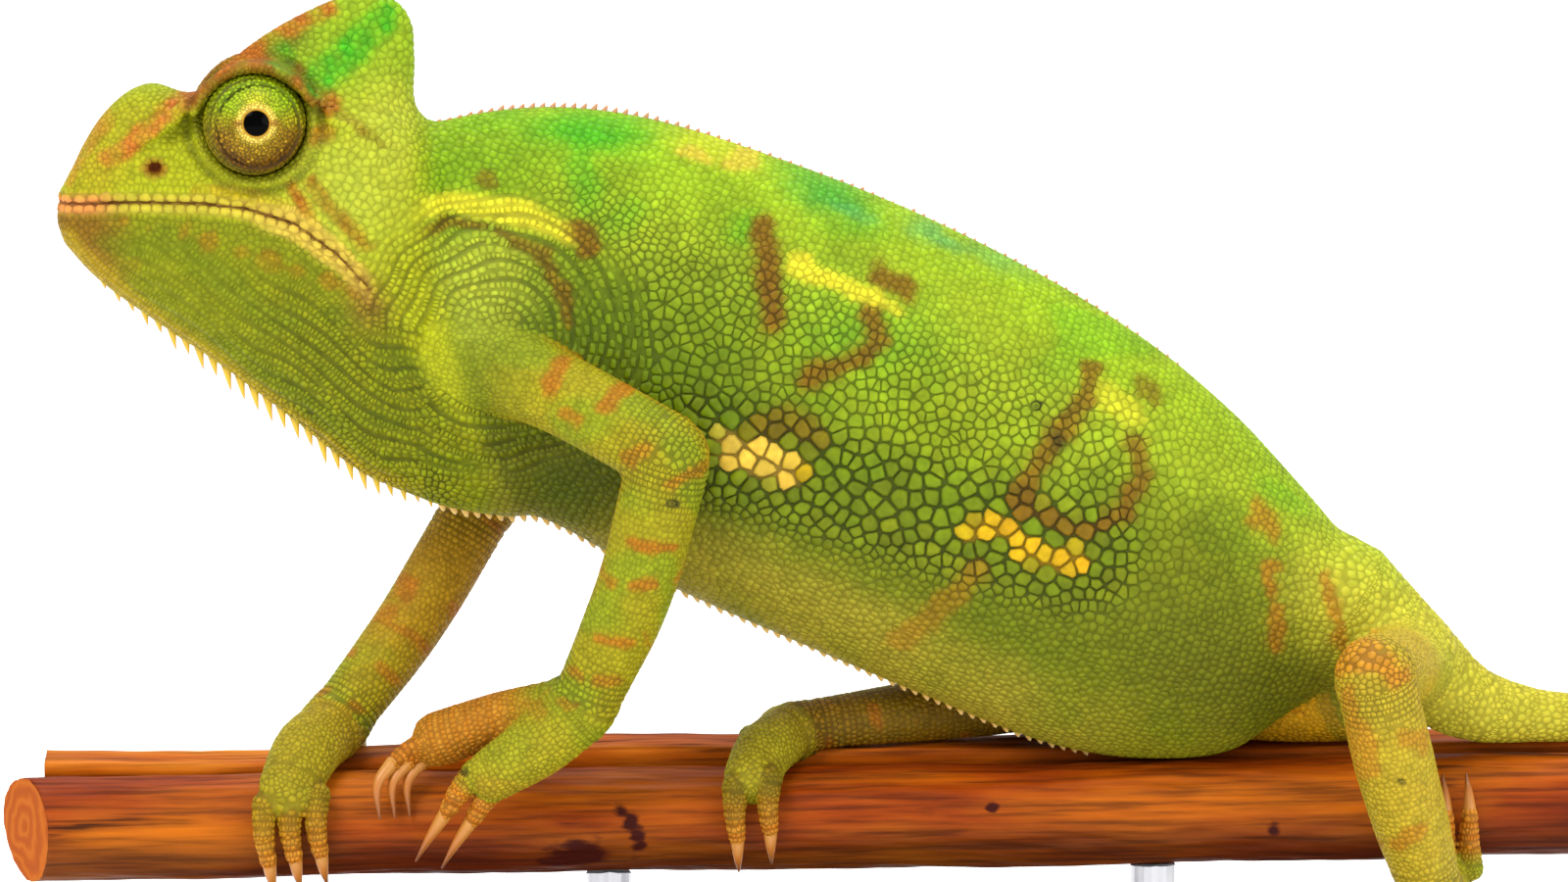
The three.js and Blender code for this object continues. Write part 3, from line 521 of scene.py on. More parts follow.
def build_body():
    field = Field()
    field.join(sliced_form(TRUNK, upper=1.55, lower=1.7), 0.1)
    field.join(sliced_form(THROAT, lower=1.35), 4.0)
    field.join(sliced_form(SKULL, width=2.3), 3.0)
    field.join(casque_form(), 2.0)
    for side in (1, -1):
        flip = np.array([1, side, 1])
        field.join(ellipsoid(np.array(CHEEK[0]) * flip, CHEEK[1]), 3.0)
        field.join(ellipsoid(np.array(SHOULDER[0]) * flip, SHOULDER[1]), 4.5)
    for ridge in (BROW, FAR_BROW):
        field.join(socket_roof(ridge), 0.8)
        field.join(Limb("brow", "ridge", ridge, BROW_RADII, count=30).form(), 0.9)
    for ridge in (TEMPLE_RIDGE, mirrored(TEMPLE_RIDGE)):
        field.join(Limb("temple", "ridge", ridge, [0.8, 1.0, 0.6]).form(), 1.2)
    field.join(Limb("casque_edge", "ridge", CASQUE_EDGE, [0.6, 0.9, 0.9, 0.8, 0.8], count=30).form(), 1.2)
    field.join(Limb("casque_back", "ridge", CASQUE_BACK, [0.8, 1.0, 1.1, 0.7], count=24).form(), 1.6)
    return field


def ripple(distance, wavelength):
    """Rounded folds with narrow creases between them."""
    wave = np.abs(np.sin(np.pi * distance / wavelength))
    return wave**0.6 - 0.75


def mouth_height(x):
    """Height of the mouth line at each x."""
    return np.interp(x, MOUTH_X, MOUTH_Z)


THROAT_ROW, SHOULDER_ROW, TRUNK_ROW, LIP_ROW = 0.86, 0.86, 0.92, 1.1  # widths of the rows of scales
LIMB_ROWS = {"tail": 0.85, "leg": 0.72, "palm": 0.68, "toe": 0.72}


def throat_place(points):
    """Distance above the throat's lower outline, with the slow waver of its folds."""
    x, _, z = points.T
    keel = along(THROAT, np.clip(x, -90, -42), 2)
    return 0.78 * (z - keel) + 0.45 * np.sin(0.42 * x) + 0.25 * np.sin(0.9 * x + 0.5 * z)


def shoulder_place(points):
    """Distance from the shoulder's joint, with a slow waver."""
    x, _, z = points.T
    return np.hypot(x - SHOULDER_JOINT[0], z - SHOULDER_JOINT[1]) + 0.3 * np.sin(0.6 * x + 0.8 * z)


def row_guides(points, ways, spots):
    """The rows that scales stand in: place across them in row widths, its slope along the skin, and strength."""
    x, y, z = points.T
    place, strength = np.zeros(len(points)), np.zeros(len(points))
    slope = np.zeros((len(points), 3))
    body = spots["kind"] == 0

    def lay(weight, value, gradient, width):
        stronger = weight > strength + 1e-3
        place[stronger] = (value / width)[stronger]
        slope[stronger] = (gradient / width)[stronger]
        strength[stronger] = weight[stronger]

    def direction(gx, gz):
        return np.column_stack([np.broadcast_to(gx, x.shape), np.zeros(len(x)), np.broadcast_to(gz, x.shape)])

    over = z - mouth_height(x)
    off_shoulder = points[:, [0, 2]] - SHOULDER_JOINT
    outward = unit(off_shoulder)
    from_shoulder = shoulder_place(points)
    tilt = (mouth_height(x + 0.3) - mouth_height(x - 0.3)) / 0.6
    lips = body * smooth(2.0, 1.7, np.abs(over)) * (x < MOUTH_CORNER)
    lay(lips, over, direction(-tilt, 1.0), LIP_ROW)
    throat = body * smooth(-48, -52, x) * smooth(-3.0, -4.5, over) * (np.abs(y) > 1.5)
    lay(0.95 * throat, throat_place(points), direction(0.62, 0.78), THROAT_ROW)
    arcs = body * smooth(18.5, 16.5, from_shoulder) * smooth(3, 5, from_shoulder) * (over < 90) * (x > -58)
    lay(0.94 * arcs, from_shoulder, direction(outward[:, 0], outward[:, 1]), SHOULDER_ROW)
    trunk = body * smooth(-50, -46, x) * smooth(1.15, 1.0, trunk_sizes(points))
    lay(0.4 * trunk, 0.92 * x - 0.39 * z + 0.5 * np.sin(0.2 * z + 0.1 * x), direction(0.92, -0.39), TRUNK_ROW)
    for kind, width in LIMB_ROWS.items():
        mine = (0.42 + 0.48 * joint_share(spots)) * (spots["kind"] == KINDS.index(kind))
        lay(mine, spots["share"] * spots["length"], spots["way"], width)
    slope -= ways * (slope * ways).sum(1)[:, None]
    steep = np.linalg.norm(slope, axis=1)
    strength[steep < 0.55] = 0
    return place, slope, strength


def joint_share(spots):
    """1 at a limb's joints, where rings of folds cross it, and on the toes."""
    end = np.where(spots["upper"], smooth(0.7, 0.95, spots["share"]), smooth(0.72, 0.95, spots["share"]))
    start = np.where(spots["upper"], 0, smooth(0.25, 0.05, spots["share"]))
    return np.where(spots["kind"] == KINDS.index("toe"), 1.0, np.maximum(start, end))


def creases(place, strength):
    """1 along every second edge of the folded rows, where a crease runs."""
    off = np.abs(place / 2 - np.round(place / 2)) * 2
    return smooth(0.4, 0.1, off) * (strength > 0.92)


def relief(points, spots):
    """How strongly the scales stand out, from 0 where the hide looks smooth to 1 in the folds and the mosaic."""
    x, y, z = points.T
    kind = spots["kind"]
    over = z - mouth_height(x)
    out = np.full(len(points), 0.3)
    flank = stroke_share(x, z, ([(-32, 112), (-14, 104), (2, 96), (16, 91)], 14.0, None, 1.0))
    out += 0.42 * flank
    mosaic = stroke_share(x, z, (MOSAIC_LINE, 9.0, None, 1.0))
    out = np.maximum(out, mosaic)
    out -= 0.16 * smooth(0.75, 0.95, (z - along(TRUNK, np.clip(x, -58, 58), 2)) / 50)
    below = stroke_share(x, z, ([(-26, 80), (-8, 73), (12, 65), (30, 60)], 9.0, None, 1.0))
    out -= 0.14 * below * (out < 0.5)
    head = smooth(-50, -55, x)
    out = out * (1 - head) + 0.22 * head
    folds = smooth(-80, -62, x) * smooth(-3, -9, over) * smooth(-44, -50, x)
    out = np.maximum(out, 0.85 * folds)
    from_shoulder = shoulder_place(points)
    out = np.maximum(out, 0.8 * smooth(18, 13, from_shoulder) * smooth(2, 6, from_shoulder))
    lips = smooth(1.8, 1.0, np.abs(over)) * (x < MOUTH_CORNER)
    out = np.maximum(out, 0.4 * lips * (kind == 0))
    out = np.where(kind == KINDS.index("leg"), 0.18 + 0.42 * joint_share(spots), out)
    out = np.where(kind == KINDS.index("palm"), 0.34, out)
    out = np.where(kind == KINDS.index("toe"), 0.5, out)
    out = np.where(kind == KINDS.index("tail"), 0.3, out)
    return np.clip(out, 0.12, 1.0)


def fold_depths(points, field_body, spots):
    """How far the skin is raised at points near the surface, in millimetres."""
    x, y, z = points.T
    raised = np.zeros(len(points))
    body = spots["kind"] == KINDS.index("body")

    # lips: a crease along the mouth line between two soft rolls
    over = z - mouth_height(x)
    lips = body * smooth(MOUTH_CORNER + 0.8, MOUTH_CORNER - 1.0, x) * (0.35 + 0.65 * smooth(-91.5, -88.5, x))
    raised += lips * (0.26 * bump(over, 0.75, 0.5) + 0.26 * bump(over, -0.75, 0.5) - 0.42 * bump(over, 0, 0.2))
    to_nostril = np.hypot(x - NOSTRIL[0], z - NOSTRIL[2])
    raised += 0.22 * body * bump(to_nostril, 1.15, 0.4) * (np.abs(y) > 3)

    # the snout's round profile
    raised += 0.7 * body * bump(x, -84.5, 5) * smooth(2.5, 6, over) * smooth(5.5, 2.5, np.abs(y))

    # rings of skin round the eye's turret
    to_eye = np.hypot(x - EYE[0], z - EYE[2])
    socket = body * (np.abs(y) > 3)
    raised += socket * (0.42 * bump(to_eye, 6.5, 0.5) - 0.4 * bump(to_eye, 7.45, 0.42))
    raised += socket * smooth(-1, -5, z - EYE[2]) * (0.2 * bump(to_eye, 8.3, 0.5) - 0.2 * bump(to_eye, 9.1, 0.4))

    # the loose throat: long folds that follow its lower outline
    from_keel = throat_place(points)
    throat = body * smooth(-86, -78, x) * smooth(-46, -52, x) * smooth(-2.5, -6, over) * smooth(0.8, 3, np.abs(y))
    raised += 0.26 * throat * ripple(from_keel, 2 * THROAT_ROW)

    # rings round the shoulder's joint
    from_shoulder = shoulder_place(points)
    shoulder = body * smooth(5.5, 8, from_shoulder) * smooth(18, 14, from_shoulder) * smooth(3, 5, np.abs(y))
    raised += 0.22 * shoulder * ripple(from_shoulder, 2 * SHOULDER_ROW)

    # rings at elbows, wrists, knees and ankles, and the toes' knuckles
    share, length = spots["share"], spots["length"]
    leg = spots["kind"] == KINDS.index("leg")
    upper = leg & spots["upper"]
    joint = np.where(upper, smooth(0.72, 0.95, share), np.maximum(smooth(0.22, 0.05, share), smooth(0.8, 0.97, share)))
    raised += 0.19 * leg * joint * ripple(share * length, 1.35)
    palm = spots["kind"] == KINDS.index("palm")
    raised += 0.16 * palm * smooth(0.5, 0.15, share) * ripple(share * length, 1.5)
    toe = spots["kind"] == KINDS.index("toe")
    raised += 0.1 * toe * ripple(share * length + 0.3, 1.5)
    return raised


KINDS = ["body", "tail", "leg", "palm", "toe"]


def find_spots(points, body_distance, limbs):
    """Which part each point is on, and its place along and round that part."""
    count = len(points)
    best = body_distance.copy()
    spots = {
        "kind": np.zeros(count, int),
        "limb": np.full(count, -1),
        "share": np.zeros(count),
        "angle": np.zeros(count),
        "length": np.ones(count),
        "upper": np.zeros(count, bool),
        "left": points[:, 1] < 0,
        "way": np.zeros((count, 3)),
    }
    for number, limb in enumerate(limbs):
        low, high = limb.box(2.0)
        near = np.nonzero(((points > low) & (points < high)).all(1))[0]
        if not len(near):
            continue
        clearance, share, angle, way = limb.nearest(points[near])
        closer = clearance < best[near]
        chosen = near[closer]
        best[chosen] = clearance[closer]
        spots["kind"][chosen] = KINDS.index(limb.kind)
        spots["limb"][chosen] = number
        spots["share"][chosen] = share[closer]
        spots["angle"][chosen] = angle[closer]
        spots["way"][chosen] = way[closer]
        spots["length"][chosen] = limb.length
        spots["upper"][chosen] = limb.name.endswith("_upper")
    return spots


# ---------------------------------------------------------------- paint: the markings on skin and scales
def rgb(red, green, blue):
    """A colour given as it looks on a screen, as linear light."""
    return (np.array([red, green, blue]) / 255) ** 2.2


BACK = rgb(158, 196, 30)
UPPER_FLANK = rgb(160, 184, 34)
MID_FLANK = rgb(106, 130, 10)
LOWER_FLANK = rgb(116, 128, 14)
BELLY = rgb(172, 160, 48)
REAR = rgb(124, 130, 10)
HIP = rgb(214, 208, 60)
EMERALD = rgb(70, 180, 24)
TEAL = rgb(66, 172, 52)
YELLOW = rgb(238, 230, 50)
CREAM = rgb(238, 196, 70)
GOLD = rgb(228, 180, 18)
SEA_GREEN = rgb(84, 176, 96)
BROWN = rgb(128, 84, 2)
RUST = rgb(186, 106, 20)
ORANGE = rgb(208, 136, 36)
BROW_BROWN = rgb(168, 98, 18)
SNOUT_STRIPE = rgb(206, 120, 42)
THROAT_OLIVE = rgb(138, 146, 6)
CHIN_BROWN = rgb(142, 100, 18)
SNOUT = rgb(172, 170, 26)
LORE = rgb(178, 186, 24)
CHEEK_PALE = rgb(186, 198, 56)
CASQUE_GREEN = rgb(152, 186, 30)
LIP_CREAM = rgb(222, 192, 72)
LIP_SALMON = rgb(228, 152, 74)
LEG = rgb(168, 160, 24)
LEG_GREEN = rgb(150, 162, 24)
PALM = rgb(176, 168, 34)
TOE = rgb(212, 124, 22)
INK = rgb(30, 30, 14)
TAIL = rgb(212, 204, 58)
NECK_GREEN = rgb(122, 164, 14)
# painted shade under the front leg
UNDERARM_SHADE = rgb(84, 98, 4)
INNER_FRONT_TONE_AND_SHADE = rgb(176, 128, 18)  # the inner sides of the legs: partly their own brown, partly painted shade
INNER_HIND_TONE_AND_SHADE = rgb(122, 78, 10)
EXPOSURE = np.array([0.83, 0.8, 0.8])  # brings every painted colour to the photo's under this light

# Soft patches on the body, seen from its side: x, z, reach along, reach across, turn in degrees, colour, strength.
PATCHES = [
    (-46, 126, 8, 5, 0, NECK_GREEN, 0.85),
    (-33, 129.4, 7, 2.4, -4, EMERALD, 0.9),
    (-33.6, 124.6, 1.8, 4.5, 8, EMERALD, 0.55),
    (-15.6, 119.3, 2.2, 1.8, 0, EMERALD, 0.5),
    (-45, 113.5, 7, 6, 0, CHEEK_PALE, 0.75),
    # painted shade under the front leg
    (-36, 90, 10, 6, -12, UNDERARM_SHADE, 0.95),
    (-6, 122.3, 5.5, 2.4, -25, TEAL, 0.8),
    (-4, 120.6, 3, 0.8, -20, SEA_GREEN, 0.5),
    (5.6, 117.6, 3.4, 1.1, -30, SEA_GREEN, 0.6),
    (12.6, 114.8, 5.5, 1.1, -18, SEA_GREEN, 0.38),
    (-19, 128.3, 6.5, 2.2, -16, YELLOW, 0.38),
    (-2, 108, 10, 6, -20, EMERALD, 0.3),
    (-35, 112, 6, 10, 0, MID_FLANK, 0.5),
    (-22, 111, 10, 7, 10, MID_FLANK, 0.55),
    (14, 100, 8, 6, -30, UPPER_FLANK, 0.7),
    (34, 96, 10, 6, -45, UPPER_FLANK, 0.6),
    # painted shade low on the rear flank, in front of the hind leg
    (38, 68, 14, 8, -20, rgb(104, 106, 6), 0.7),
    (6, 97, 12, 6, -25, rgb(126, 144, 12), 0.6),
    (-16, 81, 9, 5, -25, BELLY, 0.7),
    (-2, 74, 12, 5, -25, BELLY, 0.8),
    (12, 67, 8, 4, -15, BELLY, 0.55),
    (52, 76, 8, 7, -50, HIP, 0.75),
    (60, 72, 8, 6, -30, HIP, 0.9),
    (-12, 88, 12, 5, -20, MID_FLANK, 0.4),
]
HEAD_PATCHES = [
    (-84, 130, 6, 4, 40, SNOUT, 0.9),
    (-88, 126, 3.4, 3, 0, ORANGE, 0.22),
    (-77, 128, 5, 4, 0, LORE, 0.8),
    (-60, 124, 7, 8, 0, CHEEK_PALE, 0.9),
    (-55, 131, 3.5, 6, 0, CHEEK_PALE, 0.8),
    (-62, 138, 5, 4, 35, CASQUE_GREEN, 0.9),
    (-66.5, 139, 3.5, 1.5, 35, rgb(112, 118, 8), 0.9),
    (-88, 119, 4, 3, 0, CHIN_BROWN, 0.85),
    (-80, 117.5, 6, 3, 0, rgb(172, 150, 20), 0.45),
    (-83, 120.4, 5, 1.2, 0, LORE, 0.4),
]
# Strokes: points in x and z, width, colour, strength.
BODY_STROKES = [
    ([(-52, 121.6), (-48.3, 122.6), (-44, 121.9), (-39.7, 120.9), (-35.4, 119)], 1.3, YELLOW, 0.85),
    ([(-51.6, 118.9), (-49.4, 120.3), (-45.1, 120)], 0.9, BROWN, 0.75),
    ([(-43, 119.3), (-38.7, 117.2), (-36, 112.4), (-35.5, 109.2)], 0.9, BROWN, 0.7),
    ([(-44.5, 124.7), (-43.9, 124.3)], 1.0, BROWN, 0.6),
    ([(-34.3, 119.3), (-33.3, 117.7)], 1.5, BROWN, 0.85),
    ([(-13.7, 119), (-13.5, 114.3), (-12.8, 109.3)], 1.7, BROWN, 0.9),
    ([(-0.9, 114), (2.1, 112.6)], 1.4, BROWN, 0.85),
    ([(-1.9, 110.1), (-1.2, 107.3), (-4.2, 104.5), (-9.1, 103.1)], 1.6, BROWN, 0.85),
    ([(-14, 97.3), (-11.3, 98.4), (-9.2, 97.3)], 2.2, BROWN, 0.6),
    ([(-10.4, 115.2), (-6.2, 113.2), (-1.6, 111.7)], 1.25, YELLOW, 0.95),
    ([(-1.6, 111.7), (1.2, 110.4)], 0.7, YELLOW, 0.7),
    ([(23, 102.6), (21.3, 98.6), (17.1, 94.5), (14.3, 89.3), (18.1, 86.5), (22, 85.8), (26.5, 87.8), (28.6, 92), (27.2, 95.1)], 1.4, BROWN, 0.8),
    ([(24.6, 99.9), (27.4, 98.2)], 1.7, YELLOW, 0.55),
    ([(28.6, 101.2), (30.3, 99.6)], 1.0, BROWN, 0.6),
    ([(9.9, 81.7), (5.7, 77), (1.5, 73.2)], 1.5, RUST, 0.35),
    ([(41.9, 86.3), (43.5, 84.6)], 1.5, RUST, 0.6),
    ([(42.9, 80.9), (43.1, 78.3)], 1.2, RUST, 0.6),
    ([(43.3, 76.1), (44, 71.5)], 1.1, RUST, 0.55),
    ([(49.5, 78.8), (50.3, 75.6), (51.3, 71.5)], 0.9, RUST, 0.65),
    ([(-18.2, 95.4), (-14.8, 94), (-11.6, 92.6)], 1.9, CREAM, 0.95),
    ([(-9.6, 93.4), (-9.2, 92.8)], 0.9, GOLD, 0.6),
    ([(8.6, 85.6), (11.4, 86.6), (13.6, 85.6)], 1.2, GOLD, 0.9),
    ([(15.2, 83.8), (18, 82.5), (21, 82.4)], 1.55, GOLD, 0.95),
    ([(-22, 127.4), (-20.5, 127)], 0.8, CREAM, 0.5),
    ([(-17.5, 126.6), (-14.6, 126.2)], 0.8, CREAM, 0.5),
    ([(16.6, 99.2), (16.7, 98.9)], 0.7, INK, 0.8),
    ([(18.6, 95.7), (18.7, 95.4)], 0.6, INK, 0.8),
]
HEAD_STROKES = [
    ([(-85.7, 127.3), (-82.7, 129.4), (-79.9, 132), (-77.2, 133.9), (-75.6, 135.6)], 1.15, SNOUT_STRIPE, 0.85),
    ([(-76.5, 134.6), (-73.4, 137.3), (-71.3, 138), (-69.1, 138.2), (-66.4, 137.2), (-64.3, 135.7), (-61.7, 133.5)], 1.55, BROW_BROWN, 0.95),
    ([(-90.6, 124.6), (-88.6, 128.4), (-86, 131.4)], 1.0, SNOUT_STRIPE, 0.5),
    ([(-72.5, 137.7), (-69.5, 139.5), (-67, 141), (-64.8, 142.3), (-62.1, 143.6)], 1.6, RUST, 0.9),
    ([(-61.9, 130.6), (-63, 130)], 1.1, RUST, 0.8),
    ([(-63.6, 125.1), (-62.3, 123), (-60.2, 120.9), (-57.6, 118.1)], 0.9, BROWN * 1.6, 0.85),
    ([(-65.8, 124.5), (-64.5, 122.2), (-63.2, 120)], 0.9, RUST, 0.7),
    ([(-62.6, 136.2), (-60, 138), (-57.3, 140.6), (-55.4, 142.3)], 2.0, EMERALD, 0.9),
    ([(-67, 139.1), (-66.2, 138)], 1.5, EMERALD, 0.6),
    # a thin dark line along the temple ridge: painted shade
    ([(-59.8, 132.3), (-57.9, 130.7), (-55.8, 128.8)], 0.5, BROWN, 0.5),
    ([(-76, 124), (-71, 123.6), (-67, 122.6)], 0.9, ORANGE, 0.35),
]
# Orange-brown bars on the near limbs.
LIMB_STROKES = [
    ([(-36.3, 105.2), (-38, 103.2)], 1.05, RUST, 0.75),
    ([(-29.4, 102.7), (-32.1, 101.3)], 1.0, RUST, 0.75),
    ([(-34.8, 99.6), (-35.9, 100.6)], 1.0, RUST, 0.65),
    ([(-27.5, 97.1), (-29, 95.9)], 0.9, RUST, 0.55),
    ([(-21.4, 94.6), (-24.8, 93.2)], 0.8, RUST, 0.6),
    ([(-29, 86.2), (-24.8, 85.9)], 0.85, RUST, 0.8),
    ([(-31.7, 82.1), (-31, 82.1)], 0.8, RUST, 0.6),
    ([(-28.4, 82), (-26.3, 81.9)], 0.75, RUST, 0.8),
    ([(-24, 82.4), (-23.6, 82.4)], 0.8, RUST, 0.6),
    ([(-32.6, 75.4), (-30, 75)], 0.9, RUST, 0.75),
    ([(-33, 70.5), (-30.8, 70.7)], 0.8, RUST, 0.6),
    ([(-27.6, 76), (-27.4, 74)], 0.6, RUST, 0.4),
    ([(-24.8, 91.4), (-24.6, 91.2)], 0.6, INK, 0.9),
    ([(-36.7, 59.3), (-41.1, 57.4), (-45.6, 57.6)], 1.2, ORANGE, 0.6),
    ([(-47.8, 59.4), (-47.6, 59.3)], 0.6, INK, 0.8),
    ([(-39.7, 66.6), (-39.3, 66.2)], 0.9, RUST, 0.55),
    ([(-36.7, 67.9), (-35.5, 67.3)], 0.8, RUST, 0.55),
    ([(-35.6, 71), (-35.2, 70.6)], 0.8, RUST, 0.6),
    ([(-66, 57), (-64, 52)], 4.5, rgb(140, 112, 16), 0.4),
    ([(-53.8, 75.6), (-52.9, 76.3)], 1.0, RUST, 0.6),
    ([(-56.4, 73), (-55.1, 73.7)], 1.0, RUST, 0.5),
    ([(49.4, 72.4), (52.4, 73.3), (55.2, 71.2)], 1.6, ORANGE, 0.8),
    ([(49.6, 69), (51.0, 65), (52.3, 59.7)], 1.1, ORANGE, 0.6),
    ([(56, 64), (58, 63.4)], 1.2, RUST, 0.5),
    ([(55.6, 51), (58.4, 53)], 1.1, RUST, 0.55),
    ([(55.9, 58.8), (56.1, 58.6)], 0.7, INK, 0.8),
]


def wobble(points, wavelength, seed):
    """A smooth random-looking value between about -1 and 1."""
    turns = np.random.default_rng(seed)
    total = np.zeros(len(points))
    for _ in range(5):
        direction = unit(turns.normal(size=3)) * 2 * np.pi / (wavelength * turns.uniform(0.6, 1.7))
        total += np.sin(points @ direction + turns.uniform(0, 6.28))
    return total / 2.6


def mix(colours, colour, share):
    return colours + (np.asarray(colour) - colours) * np.clip(share, 0, 1)[:, None]


def patch_share(x, z, patch):
    px, pz, reach, across, turn, _, strength = patch
    c, s = math.cos(math.radians(turn)), math.sin(math.radians(turn))
    u = ((x - px) * c + (z - pz) * s) / reach
    v = (-(x - px) * s + (z - pz) * c) / across
    return strength * np.exp(-((u * u + v * v) ** 1.3))


def stroke_share(x, z, stroke):
    line, width, _, strength = stroke
    line = np.array(line, float)
    nearest = np.full(len(x), 1e6)
    for (ax, az), (bx, bz) in zip(line, line[1:]):
        dx, dz = bx - ax, bz - az
        t = np.clip(((x - ax) * dx + (z - az) * dz) / (dx * dx + dz * dz), 0, 1)
        nearest = np.minimum(nearest, np.hypot(x - ax - t * dx, z - az - t * dz))
    return strength * smooth(width * 1.25, width * 0.5, nearest)


def paint(points, spots):
    """The linear colour of the hide at each point."""
    x, y, z = points.T
    ragged = 0.45 * wobble(points, 3.0, 5)
    px, pz = x + ragged, z + 0.45 * wobble(points, 3.2, 6)
    colours = np.zeros((len(points), 3))

    # trunk and tail: bands from the back to the belly
    top = along(TRUNK, np.clip(x, -58, 58), 1)
    bottom = along(TRUNK, np.clip(x, -58, 58), 2)
    height = (z - bottom) / (top - bottom) + 0.05 * wobble(points, 14, 1)
    colours += BELLY
    for level, reach, colour in (
        (0.12, 0.14, LOWER_FLANK), (0.4, 0.16, MID_FLANK), (0.62, 0.14, UPPER_FLANK), (0.86, 0.1, BACK),
    ):
        colours = mix(colours, colour, smooth(level - reach, level + reach, height))
    colours = mix(colours, REAR, 0.75 * smooth(12, 34, x) * smooth(0.75, 0.45, height) * smooth(60, 48, x))
    colours = mix(colours, MID_FLANK, 0.3 * smooth(0.1, 0.8, wobble(points, 9, 2)))
    colours = mix(colours, EMERALD, 0.3 * smooth(0.35, 0.9, wobble(points, 8, 3)) * smooth(0.6, 0.8, height))
    for patch in PATCHES:
        colours = mix(colours, patch[5], patch_share(px, pz, patch))
    for stroke in BODY_STROKES:
        colours = mix(colours, stroke[2], stroke_share(px, pz, stroke))

    # head and throat
    head = smooth(-49.5, -53.5, x + 0.25 * (z - 120) * (z < 120))
    face = mix(np.zeros_like(colours) + LORE, CASQUE_GREEN, smooth(132, 137, z))
    for patch in HEAD_PATCHES:
        face = mix(face, patch[5], patch_share(px, pz, patch))
    broken = 0.85 + 0.3 * wobble(points, 2.4, 15)
    for stroke in HEAD_STROKES:
        face = mix(face, stroke[2], broken * stroke_share(x + 0.5 * ragged, z, stroke))
    over = z - mouth_height(x)
    throat = mix(np.zeros_like(colours) + THROAT_OLIVE, CHIN_BROWN, smooth(-82, -88, x) * 0.9)
    throat = mix(throat, MID_FLANK, 0.4 * smooth(0, 0.8, wobble(points, 7, 8)))
    keel = along(THROAT, np.clip(x, -90, -42), 2)
    throat = mix(throat, rgb(190, 164, 4), 0.8 * smooth(3.2, 1.0, z - keel + 0.5 * ragged) * smooth(-50, -58, x))
    throat = mix(throat, RUST, 0.4 * smooth(0.55, 0.95, wobble(points, 4.5, 9)) * smooth(-9, -3, over))
    face = mix(face, throat, smooth(-0.9, -1.8, over) * smooth(-54, -58, x + 0.6 * (z - 112)))
    lip_reach = np.where(over < 0, 0.8, 1.0) + 0.9 * smooth(-74, -64, x)
    lip = smooth(lip_reach + 0.4, lip_reach - 0.2, np.abs(over + 0.2)) * smooth(MOUTH_CORNER + 1.2, MOUTH_CORNER - 0.4, x)
    face = mix(face, LIP_CREAM, (0.55 + 0.4 * smooth(-74, -66, x)) * lip)
    face = mix(face, LIP_SALMON, lip * smooth(-84, -88, x))
    face = mix(face, rgb(150, 96, 40), 0.6 * bump(x, -57.5, 2.4) * bump(z, 111.5, 3.0))
    to_eye = np.hypot(x - EYE[0], z - EYE[2])
    side_face = 1.0 * (np.abs(y) > 3)
    # painted shade round the eye's turret: darker olive at its foot and a dark ring in the crease of the socket
    face = mix(face, rgb(110, 104, 20), 0.55 * smooth(7.0, 6.2, to_eye) * side_face)
    face = mix(face, rgb(60, 56, 8), 0.5 * bump(to_eye, 7.45, 0.35) * side_face)
    to_nostril = np.hypot(x - NOSTRIL[0], 1.3 * (z - NOSTRIL[2]))
    face = mix(face, rgb(150, 84, 30), 0.75 * smooth(1.75, 1.0, to_nostril) * side_face)
    face = mix(face, rgb(150, 70, 34), 0.85 * smooth(0.95, 0.6, to_nostril) * side_face)
    throat_side = smooth(-46, -54, x) * smooth(118, 110, z)
    colours = mix(colours, face, np.maximum(head, throat_side * smooth(-54, -58, x + 0.6 * (z - 112))))

    is_tail = spots["kind"] == KINDS.index("tail")
    colours = mix(colours, mix(np.zeros_like(colours) + HIP, TAIL, smooth(0.02, 0.12, spots["share"])), 0.85 * is_tail * smooth(-0.02, 0.12, spots["share"]))

    # limbs: green outside; brown on their inner sides, partly their own colour and partly painted shade
    limb = spots["kind"] >= 2
    green = mix(np.zeros_like(colours) + LEG, LEG_GREEN, smooth(-0.3, 0.7, wobble(points, 8, 12)))
    names = [each.name for each in limbs] + [""]
    of_right = np.array(["right" in name for name in names])[spots["limb"]]
    of_hind = np.array(["hind" in name for name in names])[spots["limb"]]
    facing_in = np.sin(spots["angle"]) * np.where(of_right, -1, 1)
    inner = smooth(-0.35, 0.35, facing_in) * np.where(spots["kind"] == KINDS.index("leg"), 0.8, 0.6)
    inner = inner * np.where(spots["upper"] | of_hind | (spots["kind"] > 2), 1.0, smooth(1.05, 0.4, spots["share"]))
    green = mix(green, INNER_FRONT_TONE_AND_SHADE, inner * ~of_hind)
    green = mix(green, INNER_HIND_TONE_AND_SHADE, inner * of_hind * (of_right | (spots["kind"] == KINDS.index("palm"))))
    green = mix(green, rgb(206, 176, 48), 0.75 * (of_hind & ~of_right) * (spots["kind"] == KINDS.index("leg")))
